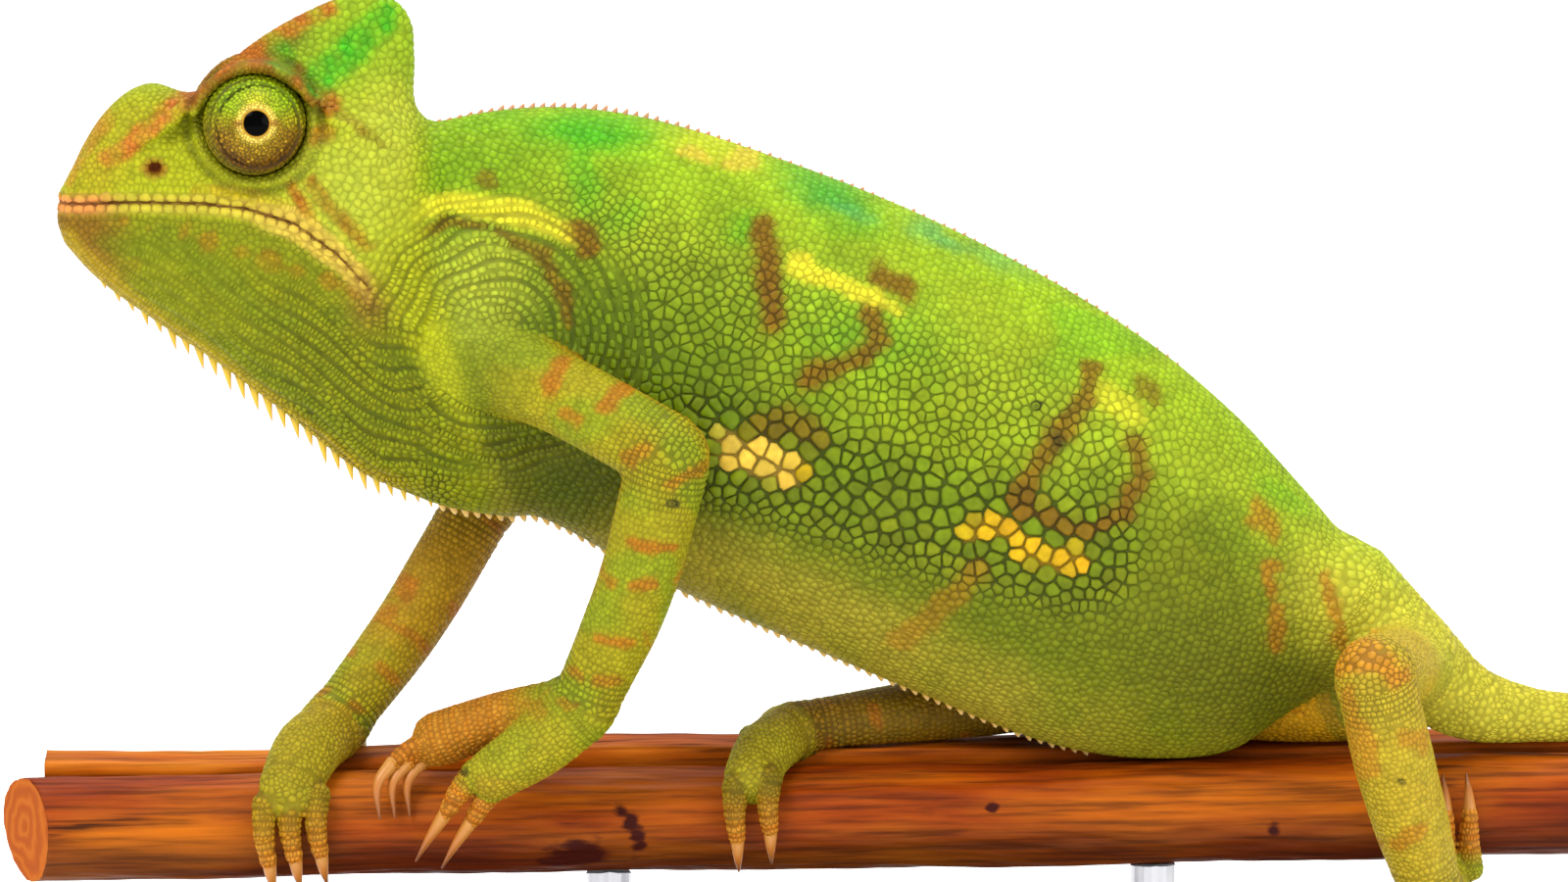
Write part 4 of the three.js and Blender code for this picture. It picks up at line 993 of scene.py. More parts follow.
    # painted light: the far thigh's face is painted a brighter gold than its own, lifting it out of the belly's shadow
    far_thigh = of_hind & of_right & spots["upper"]
    thigh_painted_light = far_thigh * smooth(0.8, 0.5, spots["share"]) * smooth(-0.5, 0.2, facing_in)
    green = mix(green, rgb(236, 178, 26), 0.9 * thigh_painted_light)
    for stroke in LIMB_STROKES:
        green = mix(green, stroke[2], stroke_share(px, pz, stroke) * np.where(stroke[0][0][0] < -50, 1, spots["left"]))
    bars = smooth(0.5, 0.9, np.sin(spots["share"] * spots["length"] * 1.15)) * smooth(0, 0.6, wobble(points, 5, 13))
    green = mix(green, RUST, 0.6 * bars * ~spots["left"])
    sleeve = np.where(spots["upper"], smooth(0.05, np.where(far_thigh, 0.2, 0.5), spots["share"]), 1.0)
    palm = spots["kind"] == KINDS.index("palm")
    green = mix(green, PALM, palm * (0.2 + 0.4 * smooth(0.0, 0.6, spots["share"])))
    bands = 0.5 + 0.5 * np.sin(spots["share"] * spots["length"] * 2 * np.pi / 1.5)
    toes = mix(np.zeros_like(colours) + TOE, rgb(216, 160, 60), bands * 0.5)
    is_toe = spots["kind"] == KINDS.index("toe")
    green = mix(green, toes, is_toe * smooth(0.0, np.where(of_right, 1.1, 0.55), spots["share"]))
    inner_foot = np.array([limb.name.startswith("front_left_inner") for limb in limbs] + [False])
    from_wrist = np.where(palm, smooth(0.05, 0.5, spots["share"]), 1.0)
    green = mix(green, mix(toes, RUST, np.full(len(x), 0.35)), inner_foot[spots["limb"]] * 0.85 * from_wrist)
    colours = mix(colours, green, limb * sleeve)
    return colours * EXPOSURE


# ---------------------------------------------------------------- sizes of the scales
MOSAIC_LINE = [(-20, 96), (-6, 91.5), (8, 87), (21, 83.5)]


def trunk_sizes(points):
    """Width of the scales on the trunk: fine on the back and belly, a coarse mosaic low on the flank."""
    x, y, z = points.T
    size = np.full(len(x), 0.92)
    side = smooth(3, 7, np.abs(y))
    size += 0.42 * side * stroke_share(x, z, ([(-26, 104), (-8, 98), (10, 91), (24, 87)], 13.0, None, 1.0))
    size += 0.75 * side * stroke_share(x, z, (MOSAIC_LINE, 6.0, None, 1.0))
    return size


def scale_sizes(points, spots):
    """Width of the scales at each point, in millimetres."""
    x, y, z = points.T
    size = trunk_sizes(points)
    head = smooth(-50, -55, x)
    over = z - mouth_height(x)
    face = np.where(over > 0, 0.78 + 0.22 * smooth(-66, -60, x), 0.8)
    to_eye = np.hypot(x - EYE[0], z - EYE[2])
    face = np.where(over > 0, face - 0.12 * smooth(9.5, 7, to_eye), face)
    face = face - 0.08 * smooth(-80, -88, x)
    size = size * (1 - head) + face * head
    kind = spots["kind"]
    size = np.where((np.abs(over) < 1.3 * LIP_ROW) & (x < MOUTH_CORNER), np.maximum(size, 1.15), size)
    size = np.where(kind == KINDS.index("tail"), 0.9 - 0.3 * spots["share"], size)
    size = np.where(kind == KINDS.index("leg"), 0.74, size)
    size = np.where(kind == KINDS.index("palm"), 0.7, size)
    size = np.where(kind == KINDS.index("toe"), 0.62, size)
    return np.clip(size, 0.55, 2.6) * COARSER


# ---------------------------------------------------------------- making meshes
def new_mesh(name, points_mm, faces, material, paint_colours=None, uvs=None, shade_smooth=True):
    mesh = bpy.data.meshes.new(name)
    faces = np.asarray(faces)
    corners = faces.shape[1]
    mesh.vertices.add(len(points_mm))
    mesh.vertices.foreach_set("co", (np.asarray(points_mm) * MM).astype(np.float32).ravel())
    mesh.loops.add(faces.size)
    mesh.loops.foreach_set("vertex_index", faces.astype(np.int32).ravel())
    mesh.polygons.add(len(faces))
    mesh.polygons.foreach_set("loop_start", np.arange(0, faces.size, corners, dtype=np.int32))
    if shade_smooth:
        mesh.polygons.foreach_set("use_smooth", np.ones(len(faces), bool))
    mesh.update(calc_edges=True)
    mesh.validate()
    if paint_colours is not None:
        layer = mesh.color_attributes.new(name="paint", type="FLOAT_COLOR", domain="POINT")
        rgba = np.column_stack([paint_colours, np.ones(len(paint_colours))])
        layer.data.foreach_set("color", rgba.astype(np.float32).ravel())
    if uvs is not None:
        layer = mesh.uv_layers.new(name="OFBake")
        layer.data.foreach_set("uv", uvs[faces.ravel()].astype(np.float32).ravel())
    mesh.materials.append(material)
    piece = bpy.data.objects.new(name, mesh)
    bpy.context.scene.collection.objects.link(piece)
    return piece


def finish_piece(piece):
    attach(piece, "root")
    return piece


# ---------------------------------------------------------------- materials
def node_material(name):
    material = bpy.data.materials.new(name)
    material.use_nodes = True
    tree = material.node_tree
    return material, tree, tree.nodes["Principled BSDF"]


def add_node(tree, kind, **inputs):
    node = tree.nodes.new(kind)
    for key, value in inputs.items():
        node.inputs[key.replace("_", " ")].default_value = value
    return node


def object_noise(tree, scale, detail=3.0, stretch=(1, 1, 1)):
    """Noise in object space; scale is in features per metre."""
    place = tree.nodes.new("ShaderNodeTexCoord")
    mapping = tree.nodes.new("ShaderNodeMapping")
    mapping.inputs["Scale"].default_value = stretch
    noise = add_node(tree, "ShaderNodeTexNoise", Scale=scale, Detail=detail)
    tree.links.new(place.outputs["Object"], mapping.inputs["Vector"])
    tree.links.new(mapping.outputs["Vector"], noise.inputs["Vector"])
    return noise


def ramp(tree, source, stops):
    node = tree.nodes.new("ShaderNodeValToRGB")
    while len(node.color_ramp.elements) < len(stops):
        node.color_ramp.elements.new(0.5)
    for element, (place, colour) in zip(node.color_ramp.elements, stops):
        element.position = place
        element.color = (*colour, 1)
    tree.links.new(source, node.inputs["Fac"])
    return node


def bump_from(tree, shader, source, strength, distance):
    node = add_node(tree, "ShaderNodeBump", Strength=strength, Distance=distance)
    tree.links.new(source, node.inputs["Height"])
    tree.links.new(node.outputs["Normal"], shader.inputs["Normal"])


def hide_material(name, roughness, darken=1.0):
    """Scaled hide: the painted markings with a fine mottle, and a satin surface."""
    material, tree, shader = node_material(name)
    marks = tree.nodes.new("ShaderNodeVertexColor")
    marks.layer_name = "paint"
    mottle = object_noise(tree, 900, 2.0)
    shade = ramp(tree, mottle.outputs["Fac"], [(0.3, (0.8 * darken,) * 3), (0.7, (1.12 * darken,) * 3)])
    tree.links.new(multiply(tree, marks.outputs["Color"], shade.outputs["Color"]), shader.inputs["Base Color"])
    sheen = ramp(tree, mottle.outputs["Fac"], [(0.3, (roughness + 0.08,) * 3), (0.7, (roughness - 0.06,) * 3)])
    tree.links.new(sheen.outputs["Color"], shader.inputs["Roughness"])
    shader.inputs["Specular IOR Level"].default_value = 0.16
    grain = object_noise(tree, 5200, 2.0)
    bump_from(tree, shader, grain.outputs["Fac"], 0.25, 0.00006)
    return material


def claw_material():
    material, tree, shader = node_material("claw_horn")
    marks = tree.nodes.new("ShaderNodeVertexColor")
    marks.layer_name = "paint"
    tree.links.new(marks.outputs["Color"], shader.inputs["Base Color"])
    streaks = object_noise(tree, 2500, 2.0, (1, 1, 0.25))
    gloss = ramp(tree, streaks.outputs["Fac"], [(0.3, (0.42,) * 3), (0.7, (0.28,) * 3)])
    tree.links.new(gloss.outputs["Color"], shader.inputs["Roughness"])
    bump_from(tree, shader, streaks.outputs["Fac"], 0.2, 0.00005)
    return material


def eyeball_material():
    material, tree, shader = node_material("eyeball")
    marks = tree.nodes.new("ShaderNodeVertexColor")
    marks.layer_name = "paint"
    tree.links.new(marks.outputs["Color"], shader.inputs["Base Color"])
    fibre = object_noise(tree, 3000, 3.0)
    gloss = ramp(tree, fibre.outputs["Fac"], [(0.3, (0.16,) * 3), (0.7, (0.1,) * 3)])
    tree.links.new(gloss.outputs["Color"], shader.inputs["Roughness"])
    shader.inputs["Specular IOR Level"].default_value = 0.04
    return material


def multiply(tree, first, second):
    node = tree.nodes.new("ShaderNodeMix")
    node.data_type = "RGBA"
    node.blend_type = "MULTIPLY"
    node.inputs["Factor"].default_value = 1.0
    tree.links.new(first, node.inputs["A"])
    tree.links.new(second, node.inputs["B"])
    return node.outputs["Result"]


def knot_mask(tree, place, reach, ragged):
    """1 inside a ragged knot at a place, both in millimetres."""
    coordinates = tree.nodes.new("ShaderNodeTexCoord")
    away = tree.nodes.new("ShaderNodeVectorMath")
    away.operation = "DISTANCE"
    away.inputs[1].default_value = tuple(v * MM for v in place)
    tree.links.new(coordinates.outputs["Object"], away.inputs[0])
    spread = tree.nodes.new("ShaderNodeMath")
    spread.operation = "MULTIPLY_ADD"
    spread.inputs[1].default_value = 3.2 * reach * MM
    tree.links.new(ragged.outputs["Fac"], spread.inputs[0])
    tree.links.new(away.outputs["Value"], spread.inputs[2])
    mask = tree.nodes.new("ShaderNodeMapRange")
    mask.inputs["From Min"].default_value = 3.2 * reach * MM
    mask.inputs["From Max"].default_value = 2.4 * reach * MM
    tree.links.new(spread.outputs[0], mask.inputs["Value"])
    return mask.outputs["Result"]


def painted_underside_shade(tree):
    """Painted shade: darkens the wood towards its underside."""
    coordinates = tree.nodes.new("ShaderNodeTexCoord")
    split = tree.nodes.new("ShaderNodeSeparateXYZ")
    height = tree.nodes.new("ShaderNodeMapRange")
    height.inputs["From Min"].default_value = 48.5 * MM
    height.inputs["From Max"].default_value = 52 * MM
    tree.links.new(coordinates.outputs["Object"], split.inputs["Vector"])
    tree.links.new(split.outputs["Z"], height.inputs["Value"])
    return ramp(tree, height.outputs["Result"], [(0.0, (0.42,) * 3), (1.0, (1.0,) * 3)]).outputs["Color"]


def wood_material(name, dark, mid, light, roughness, knots=()):
    """Split, weathered wood with its grain along X, dark cracks, knots at the given places (mm), and painted shade
    towards its underside.
    """
    material, tree, shader = node_material(name)
    broad = object_noise(tree, 110, 5.0, (0.22, 1, 1))
    colour = ramp(tree, broad.outputs["Fac"], [(0.32, dark), (0.5, mid), (0.68, light)])
    grain = object_noise(tree, 1500, 5.0, (0.045, 1, 1))
    streaks = ramp(tree, grain.outputs["Fac"], [(0.34, (0.5,) * 3), (0.5, (0.95,) * 3), (0.68, (1.2,) * 3)])
    cracks = object_noise(tree, 620, 4.0, (0.03, 1, 1))
    lines = ramp(tree, cracks.outputs["Fac"], [(0.33, (0.22,) * 3), (0.38, (1.0,) * 3)])
    last = multiply(tree, multiply(tree, colour.outputs["Color"], streaks.outputs["Color"]), lines.outputs["Color"])
    # painted shade towards the underside of the wood
    last = multiply(tree, last, painted_underside_shade(tree))
    ragged = object_noise(tree, 900, 6.0, (0.4, 1, 1))
    for place, reach in knots:
        over = tree.nodes.new("ShaderNodeMix")
        over.data_type = "RGBA"
        over.inputs["B"].default_value = (*[c * 0.34 for c in dark], 1)
        tree.links.new(knot_mask(tree, place, reach, ragged), over.inputs["Factor"])
        tree.links.new(last, over.inputs["A"])
        last = over.outputs["Result"]
    tree.links.new(last, shader.inputs["Base Color"])
    shader.inputs["Specular IOR Level"].default_value = 0.12
    rough = ramp(tree, grain.outputs["Fac"], [(0.3, (roughness + 0.12,) * 3), (0.7, (roughness - 0.08,) * 3)])
    tree.links.new(rough.outputs["Color"], shader.inputs["Roughness"])
    bump_from(tree, shader, grain.outputs["Fac"], 0.5, 0.0002)
    return material


def end_grain_material():
    """Growth rings round the pole's pith."""
    material, tree, shader = node_material("end_grain")
    place = tree.nodes.new("ShaderNodeTexCoord")
    mapping = tree.nodes.new("ShaderNodeMapping")
    mapping.inputs["Location"].default_value = (0, -POLE["y"] * MM, -POLE["z"] * MM)
    mapping.inputs["Scale"].default_value = (0, 1, 1)
    rings = add_node(tree, "ShaderNodeTexWave", Scale=150, Distortion=11.0, Detail=6.0)
    rings.wave_type = "RINGS"
    rings.rings_direction = "X"
    tree.links.new(place.outputs["Object"], mapping.inputs["Vector"])
    tree.links.new(mapping.outputs["Vector"], rings.inputs["Vector"])
    colour = ramp(tree, rings.outputs["Fac"], [(0.0, rgb(160, 74, 10)), (0.6, rgb(170, 82, 14)), (1.0, rgb(180, 94, 20))])
    tree.links.new(colour.outputs["Color"], shader.inputs["Base Color"])
    shader.inputs["Roughness"].default_value = 0.8
    shader.inputs["Specular IOR Level"].default_value = 0.15
    bump_from(tree, shader, rings.outputs["Fac"], 0.15, 0.0001)
    return material


def plain_material(name, colour, roughness, metallic=0.0, grain_scale=700, stretch=(1, 1, 1)):
    """A plain made surface with a slight variation in its gloss."""
    material, tree, shader = node_material(name)
    noise = object_noise(tree, grain_scale, 3.0, stretch)
    tone = ramp(tree, noise.outputs["Fac"], [(0.3, np.array(colour) * 0.88), (0.7, np.array(colour) * 1.08)])
    tree.links.new(tone.outputs["Color"], shader.inputs["Base Color"])
    gloss = ramp(tree, noise.outputs["Fac"], [(0.3, (roughness + 0.05,) * 3), (0.7, (roughness - 0.05,) * 3)])
    tree.links.new(gloss.outputs["Color"], shader.inputs["Roughness"])
    shader.inputs["Metallic"].default_value = metallic
    bump_from(tree, shader, noise.outputs["Fac"], 0.1, 0.00005)
    return material


# ---------------------------------------------------------------- flesh and skin
limbs = all_limbs()
body_field = build_body()
for side in (1, -1):
    body_field.carve(ellipsoid(EYE * np.array([1, side, 1]), [EYE_RADIUS - 0.4] * 3), blend=0.5)
    body_field.carve(ellipsoid(NOSTRIL * np.array([1, side, 1]), (0.62, 1.5, 0.5)), blend=0.35)
flesh = Field()
flesh.values[:] = body_field.values


def limb_blend(limb):
    root = limb.path[0]
    least = 0.12 if limb.kind == "toe" else 0.5

    def size(places):
        away = np.linalg.norm(places - root, axis=-1)
        return least + (limb.root_blend - least) * np.exp(-((away / limb.root_reach) ** 2))

    return size


for limb in limbs:
    flesh.join(limb.form(), limb_blend(limb))

near = np.argwhere(np.abs(flesh.values + COAT) < 1.6)
near_points = (near + flesh.first) * VOXEL
near_spots = find_spots(near_points, body_field.at(near_points), limbs)
flesh.values[tuple(near.T)] -= fold_depths(near_points, body_field, near_spots).astype(np.float32)
for form in (pole_form(), slat_form()):
    flesh.carve(form, clearance=0.0)


def polygonise(field, level):
    grid = openvdb.FloatGrid()
    grid.transform = openvdb.createLinearTransform(voxelSize=VOXEL)
    grid.background = BAND
    grid.copyFromArray(field.values, ijk=tuple(int(v) for v in field.first))
    points, quads = grid.convertToQuads(isovalue=level)
    return points.astype(float), quads[:, ::-1].astype(int)


def keep_largest(points, quads):
    """Only the biggest connected piece."""
    label = np.arange(len(points))
    while True:
        lowest = label[quads].min(1)
        fresh = label.copy()
        np.minimum.at(fresh, quads.ravel(), np.repeat(lowest, 4))
        fresh = fresh[fresh]
        if (fresh == label).all():
            break
        label = fresh
    names, sizes = np.unique(label, return_counts=True)
    keep = label == names[sizes.argmax()]
    number = np.cumsum(keep) - 1
    return points[keep], number[quads[keep[quads].all(1)]]


def even_out(points, quads, field, level, rounds=3):
    """Evens the spacing of a mesh's points along the surface."""
    ends = np.vstack([quads[:, [0, 1]], quads[:, [1, 2]], quads[:, [2, 3]], quads[:, [3, 0]]])
    degree = np.bincount(ends[:, 0], minlength=len(points)) + np.bincount(ends[:, 1], minlength=len(points))
    for _ in range(rounds):
        total = np.zeros_like(points)
        for axis in range(3):
            total[:, axis] += np.bincount(ends[:, 0], points[ends[:, 1], axis], len(points))
            total[:, axis] += np.bincount(ends[:, 1], points[ends[:, 0], axis], len(points))
        points = points + 0.6 * (total / degree[:, None] - points)
        points = field.settle(points, level, rounds=1)
    return points


skin_points, skin_quads = keep_largest(*polygonise(flesh, -COAT))
skin_points = even_out(skin_points, skin_quads, flesh, -COAT)
skin_spots = find_spots(skin_points, body_field.at(skin_points), limbs)

hide = hide_material("hide", 0.46)
under_hide = hide_material("hide_between_scales", 0.62)
skin_rows = row_guides(skin_points, flesh.normals(skin_points), skin_spots)
in_folds = skin_rows[2] > 0.92
# the skin between the scales is darkened, partly its own darker colour and partly painted shade, most where the scales
# stand out and in the creases of the folds
skin_relief = relief(skin_points, skin_spots) * (1 - 0.5 * in_folds * (1 - creases(skin_rows[0], skin_rows[2])))
lip_gap = smooth(1.0, 0.8, np.abs(skin_points[:, 2] - mouth_height(skin_points[:, 0])))
lip_gap = 0.32 * lip_gap * (skin_points[:, 0] < MOUTH_CORNER) * (skin_spots["kind"] == 0)
skin_colours = mix(paint(skin_points, skin_spots), rgb(120, 66, 16), lip_gap) * (0.86 - 0.56 * skin_relief)[:, None]
# painted shade: a dark line in the crease along the mouth
mouth_crease_shade = (skin_spots["kind"] == 0) & (skin_points[:, 0] < MOUTH_CORNER + 0.6)
mouth_crease_shade = mouth_crease_shade * smooth(0.3, 0.1, np.abs(skin_points[:, 2] - mouth_height(skin_points[:, 0])))
skin_colours = mix(skin_colours, rgb(84, 42, 14), 0.9 * mouth_crease_shade)
skin = new_mesh("skin", skin_points, skin_quads, under_hide, skin_colours)
flesh_nodes = [
    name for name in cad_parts
    if not name.startswith(("stand_", "perch_", "eye_"))
]
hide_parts(*flesh_nodes)
finish_piece(skin)


# ---------------------------------------------------------------- scales
def scatter(points, quads, sizes_at_points):
    """Sample points whose density gives each scale the same number of them."""
    corners = points[quads]
    cross = np.cross(corners[:, 1] - corners[:, 0], corners[:, 2] - corners[:, 0])
    other = np.cross(corners[:, 2] - corners[:, 0], corners[:, 3] - corners[:, 0])
    area = (np.linalg.norm(cross, axis=1) + np.linalg.norm(other, axis=1)) / 2
    weight = area / sizes_at_points[quads].mean(1) ** 2
    cumulative = np.cumsum(weight)
    sites = int(cumulative[-1] / 0.866)
    total = sites * 10
    picks = (np.arange(total) + rng.random(total)) / total * cumulative[-1]
    face = np.minimum(np.searchsorted(cumulative, picks), len(quads) - 1)
    u, v = rng.random((2, total, 1))
    a, b, c, d = (corners[face, k] for k in range(4))
    return (a * (1 - u) + b * u) * (1 - v) + (d * (1 - u) + c * u) * v, sites


def tree_of(points):
    tree = KDTree(len(points))
    for number, point in enumerate(points.tolist()):
        tree.insert(point, number)
    tree.balance()
    return tree


def snap(sites):
    """Moves sites to the middle of the rows that they stand in."""
    ways = flesh.normals(sites)
    place, slope, strength = row_guides(sites, ways, find_spots(sites, body_field.at(sites), limbs))
    steep = np.maximum((slope**2).sum(1), 1e-6)
    move = slope * ((np.floor(place) + 0.5 - place) / steep * strength)[:, None]
    return sites + move


def relax(sites, samples, fixed, rounds):
    """Moves each free site to the middle of the samples nearest to it, and into its row."""
    listed = samples.tolist()
    for _ in range(rounds):
        tree = tree_of(sites)
        nearest = np.fromiter((tree.find(p)[1] for p in listed), int, len(listed))
        count = np.bincount(nearest, minlength=len(sites))
        moved = sites.copy()
        for axis in range(3):
            middle = np.bincount(nearest, samples[:, axis], len(sites)) / np.maximum(count, 1)
            moved[:, axis] = middle
        if COARSER == 1:
            moved = snap(moved)
        free = ~fixed & (count > 0)
        sites[free] = moved[free]
    return sites


def surface_side(x, z, side):
    """The skin's y on one side of the head or body, at each x and z."""
    steps = np.arange(14, 0, -0.1)
    found = np.zeros(len(x))
    waiting = np.ones(len(x), bool)
    for depth in steps:
        inside = flesh.at(np.column_stack([x, np.full(len(x), side * depth), z])) < -COAT
        found[waiting & inside] = side * depth
        waiting &= ~inside
    return found


def snout_front(y, z):
    """The skin's x on the front of the snout, at each y and z."""
    found = np.full(len(y), -88.0)
    for x in np.arange(-88, -96, -0.1):
        inside = body_field.at(np.column_stack([np.full(len(y), x), y, z])) < -COAT
        found[inside] = x
    return found


def midline(x, upward):
    """The skin's z on the back or the keel, at each x."""
    table = TRUNK if upward else THROAT + TRUNK[3:]
    start = along(table, x, 1 if upward else 2) + (4 if upward else -4)
    found = np.full(len(x), np.nan)
    for step in np.arange(0, 12, 0.1):
        z = start + (-step if upward else step)
        inside = body_field.at(np.column_stack([x, np.zeros(len(x)), z])) < -COAT
        fresh = np.isnan(found) & inside
        found[fresh] = z[fresh]
    return found


def row_sites():
    """Places of the scales that stand in rows: lips and brow ridges."""
    rows = []
    for offset, spacing in ((LIP_ROW / 2, 1.45), (-LIP_ROW / 2, 1.25)):
        x = np.arange(-90.6, MOUTH_CORNER, spacing * COARSER)
        z = mouth_height(x) + offset
        for side in (1, -1):
            y = surface_side(x, z, side)
            rows.append(np.column_stack([x, y, z])[np.abs(y) > 2.5])
        y = np.arange(-1.9, 2, 1.27)
        z = np.full(len(y), mouth_height(np.array([-91.0]))[0] + offset)
        rows.append(np.column_stack([snout_front(y, z), y, z]))
    turn = np.arange(8) / 8 * 2 * np.pi
    for side in (1, -1):
        x = NOSTRIL[0] + 1.15 * np.cos(turn)
        z = NOSTRIL[2] + 1.0 * np.sin(turn)
        rows.append(np.column_stack([x, surface_side(x, z, side), z]))
    for ridge in (BROW, FAR_BROW):
        path = curve(ridge[1:-1], int(24 / (0.95 * COARSER)))
        outward = np.array([0, np.sign(ridge[0][1]) * 0.6, 0.8])
        rows.append(path + outward * 1.1)
    for edge in (CASQUE_EDGE, CASQUE_BACK):
        path = curve(edge, int(16 / (0.95 * COARSER)))
        rows.append(path + unit(path - np.array([-60, 0, 134])) * 0.9)
    return np.vstack(rows)


skin_sizes = scale_sizes(skin_points, skin_spots)
samples, wanted = scatter(skin_points, skin_quads, skin_sizes)
LIFT = 0.6  # keeps scales on opposite sides of a thin part from meeting
sample_ways = flesh.normals(samples)
rows = flesh.settle(row_sites(), -COAT)
first_sites = samples[rng.integers(0, 10) :: 10][:wanted]
in_rows = tree_of(rows)
clear = np.array([in_rows.find(p)[2] > 0.6 * COARSER for p in first_sites.tolist()])
first_sites = first_sites[clear]
sites = np.vstack([rows, first_sites])
fixed = np.arange(len(sites)) < len(rows)
lifted = sites + LIFT * flesh.normals(sites)
lifted = relax(lifted, samples + LIFT * sample_ways, fixed, 5)
sites = flesh.settle(lifted, -COAT)
sites[: len(rows)] = rows
in_lips = (sites[:, 0] < MOUTH_CORNER) & (np.abs(sites[:, 2] - mouth_height(sites[:, 0])) < 0.95 * LIP_ROW)
kept = fixed | ~in_lips | (np.abs(flesh.at(sites) - body_field.at(sites)) > 0.5)
sites, lifted = sites[kept], lifted[kept]
site_ways = flesh.normals(sites)
site_spots = find_spots(sites, body_field.at(sites), limbs)
site_sizes = scale_sizes(sites, site_spots)

perch_gap = Field()
for form in (pole_form(), slat_form()):
    perch_gap.join(form, 0.05)
buried = perch_gap.at(sites) < 0.12
eye_gap = np.minimum(
    np.linalg.norm(sites - EYE, axis=1), np.linalg.norm(sites - EYE * np.array([1, -1, 1]), axis=1)
)
off_skin = np.abs(flesh.at(sites) + COAT) > 0.08
to_nostril = np.hypot(sites[:, 0] - NOSTRIL[0], 1.25 * (sites[:, 2] - NOSTRIL[2]))
in_nostril = (to_nostril < 0.75) & (np.abs(sites[:, 1]) > 3)
shown = ~buried & ~off_skin & ~in_nostril & (eye_gap > EYE_RADIUS - 0.05)
site_rows, site_slopes, site_row_strength = row_guides(sites, site_ways, site_spots)
site_relief = relief(sites, site_spots)


def neighbours(sites, count=13):
    tree = tree_of(sites)
    found = np.zeros((len(sites), count), int)
    for number, point in enumerate(sites.tolist()):
        for place, (_, other, _) in enumerate(tree.find_n(point, count + 1)[1:]):
            found[number, place] = other
    return found


around = neighbours(lifted)


def tangents(ways):
    """Two directions in the surface; the first runs towards the tail."""
    back = np.array([1.0, 0, -0.35]) - ways * (ways @ np.array([1.0, 0, -0.35]))[:, None]
    back = unit(back)
    return back, np.cross(ways, back)


def row_reach(chosen, back, side, spoke):
    """Distance from each scale's root to the edge of its row, along each spoke."""
    slope = site_slopes[chosen]
    steep = (slope * back).sum(1)[:, None] * spoke[..., 0] + (slope * side).sum(1)[:, None] * spoke[..., 1]
    row = np.floor(site_rows[chosen])[:, None]
    share = site_rows[chosen][:, None] - row
    upward = steep > 0
    crease = np.where(upward, row + 1, row) % 2 == 0
    room = np.where(upward, 1 - share, share) - 0.1 * crease * site_relief[chosen][:, None]
    reach = np.maximum(room / np.maximum(np.abs(steep), 1e-3), 0.2)
    in_row = (site_row_strength[chosen] > 0.6) & (np.abs(share[:, 0] - 0.5) < 0.3)
    return np.where(in_row[:, None], reach, 1e6)


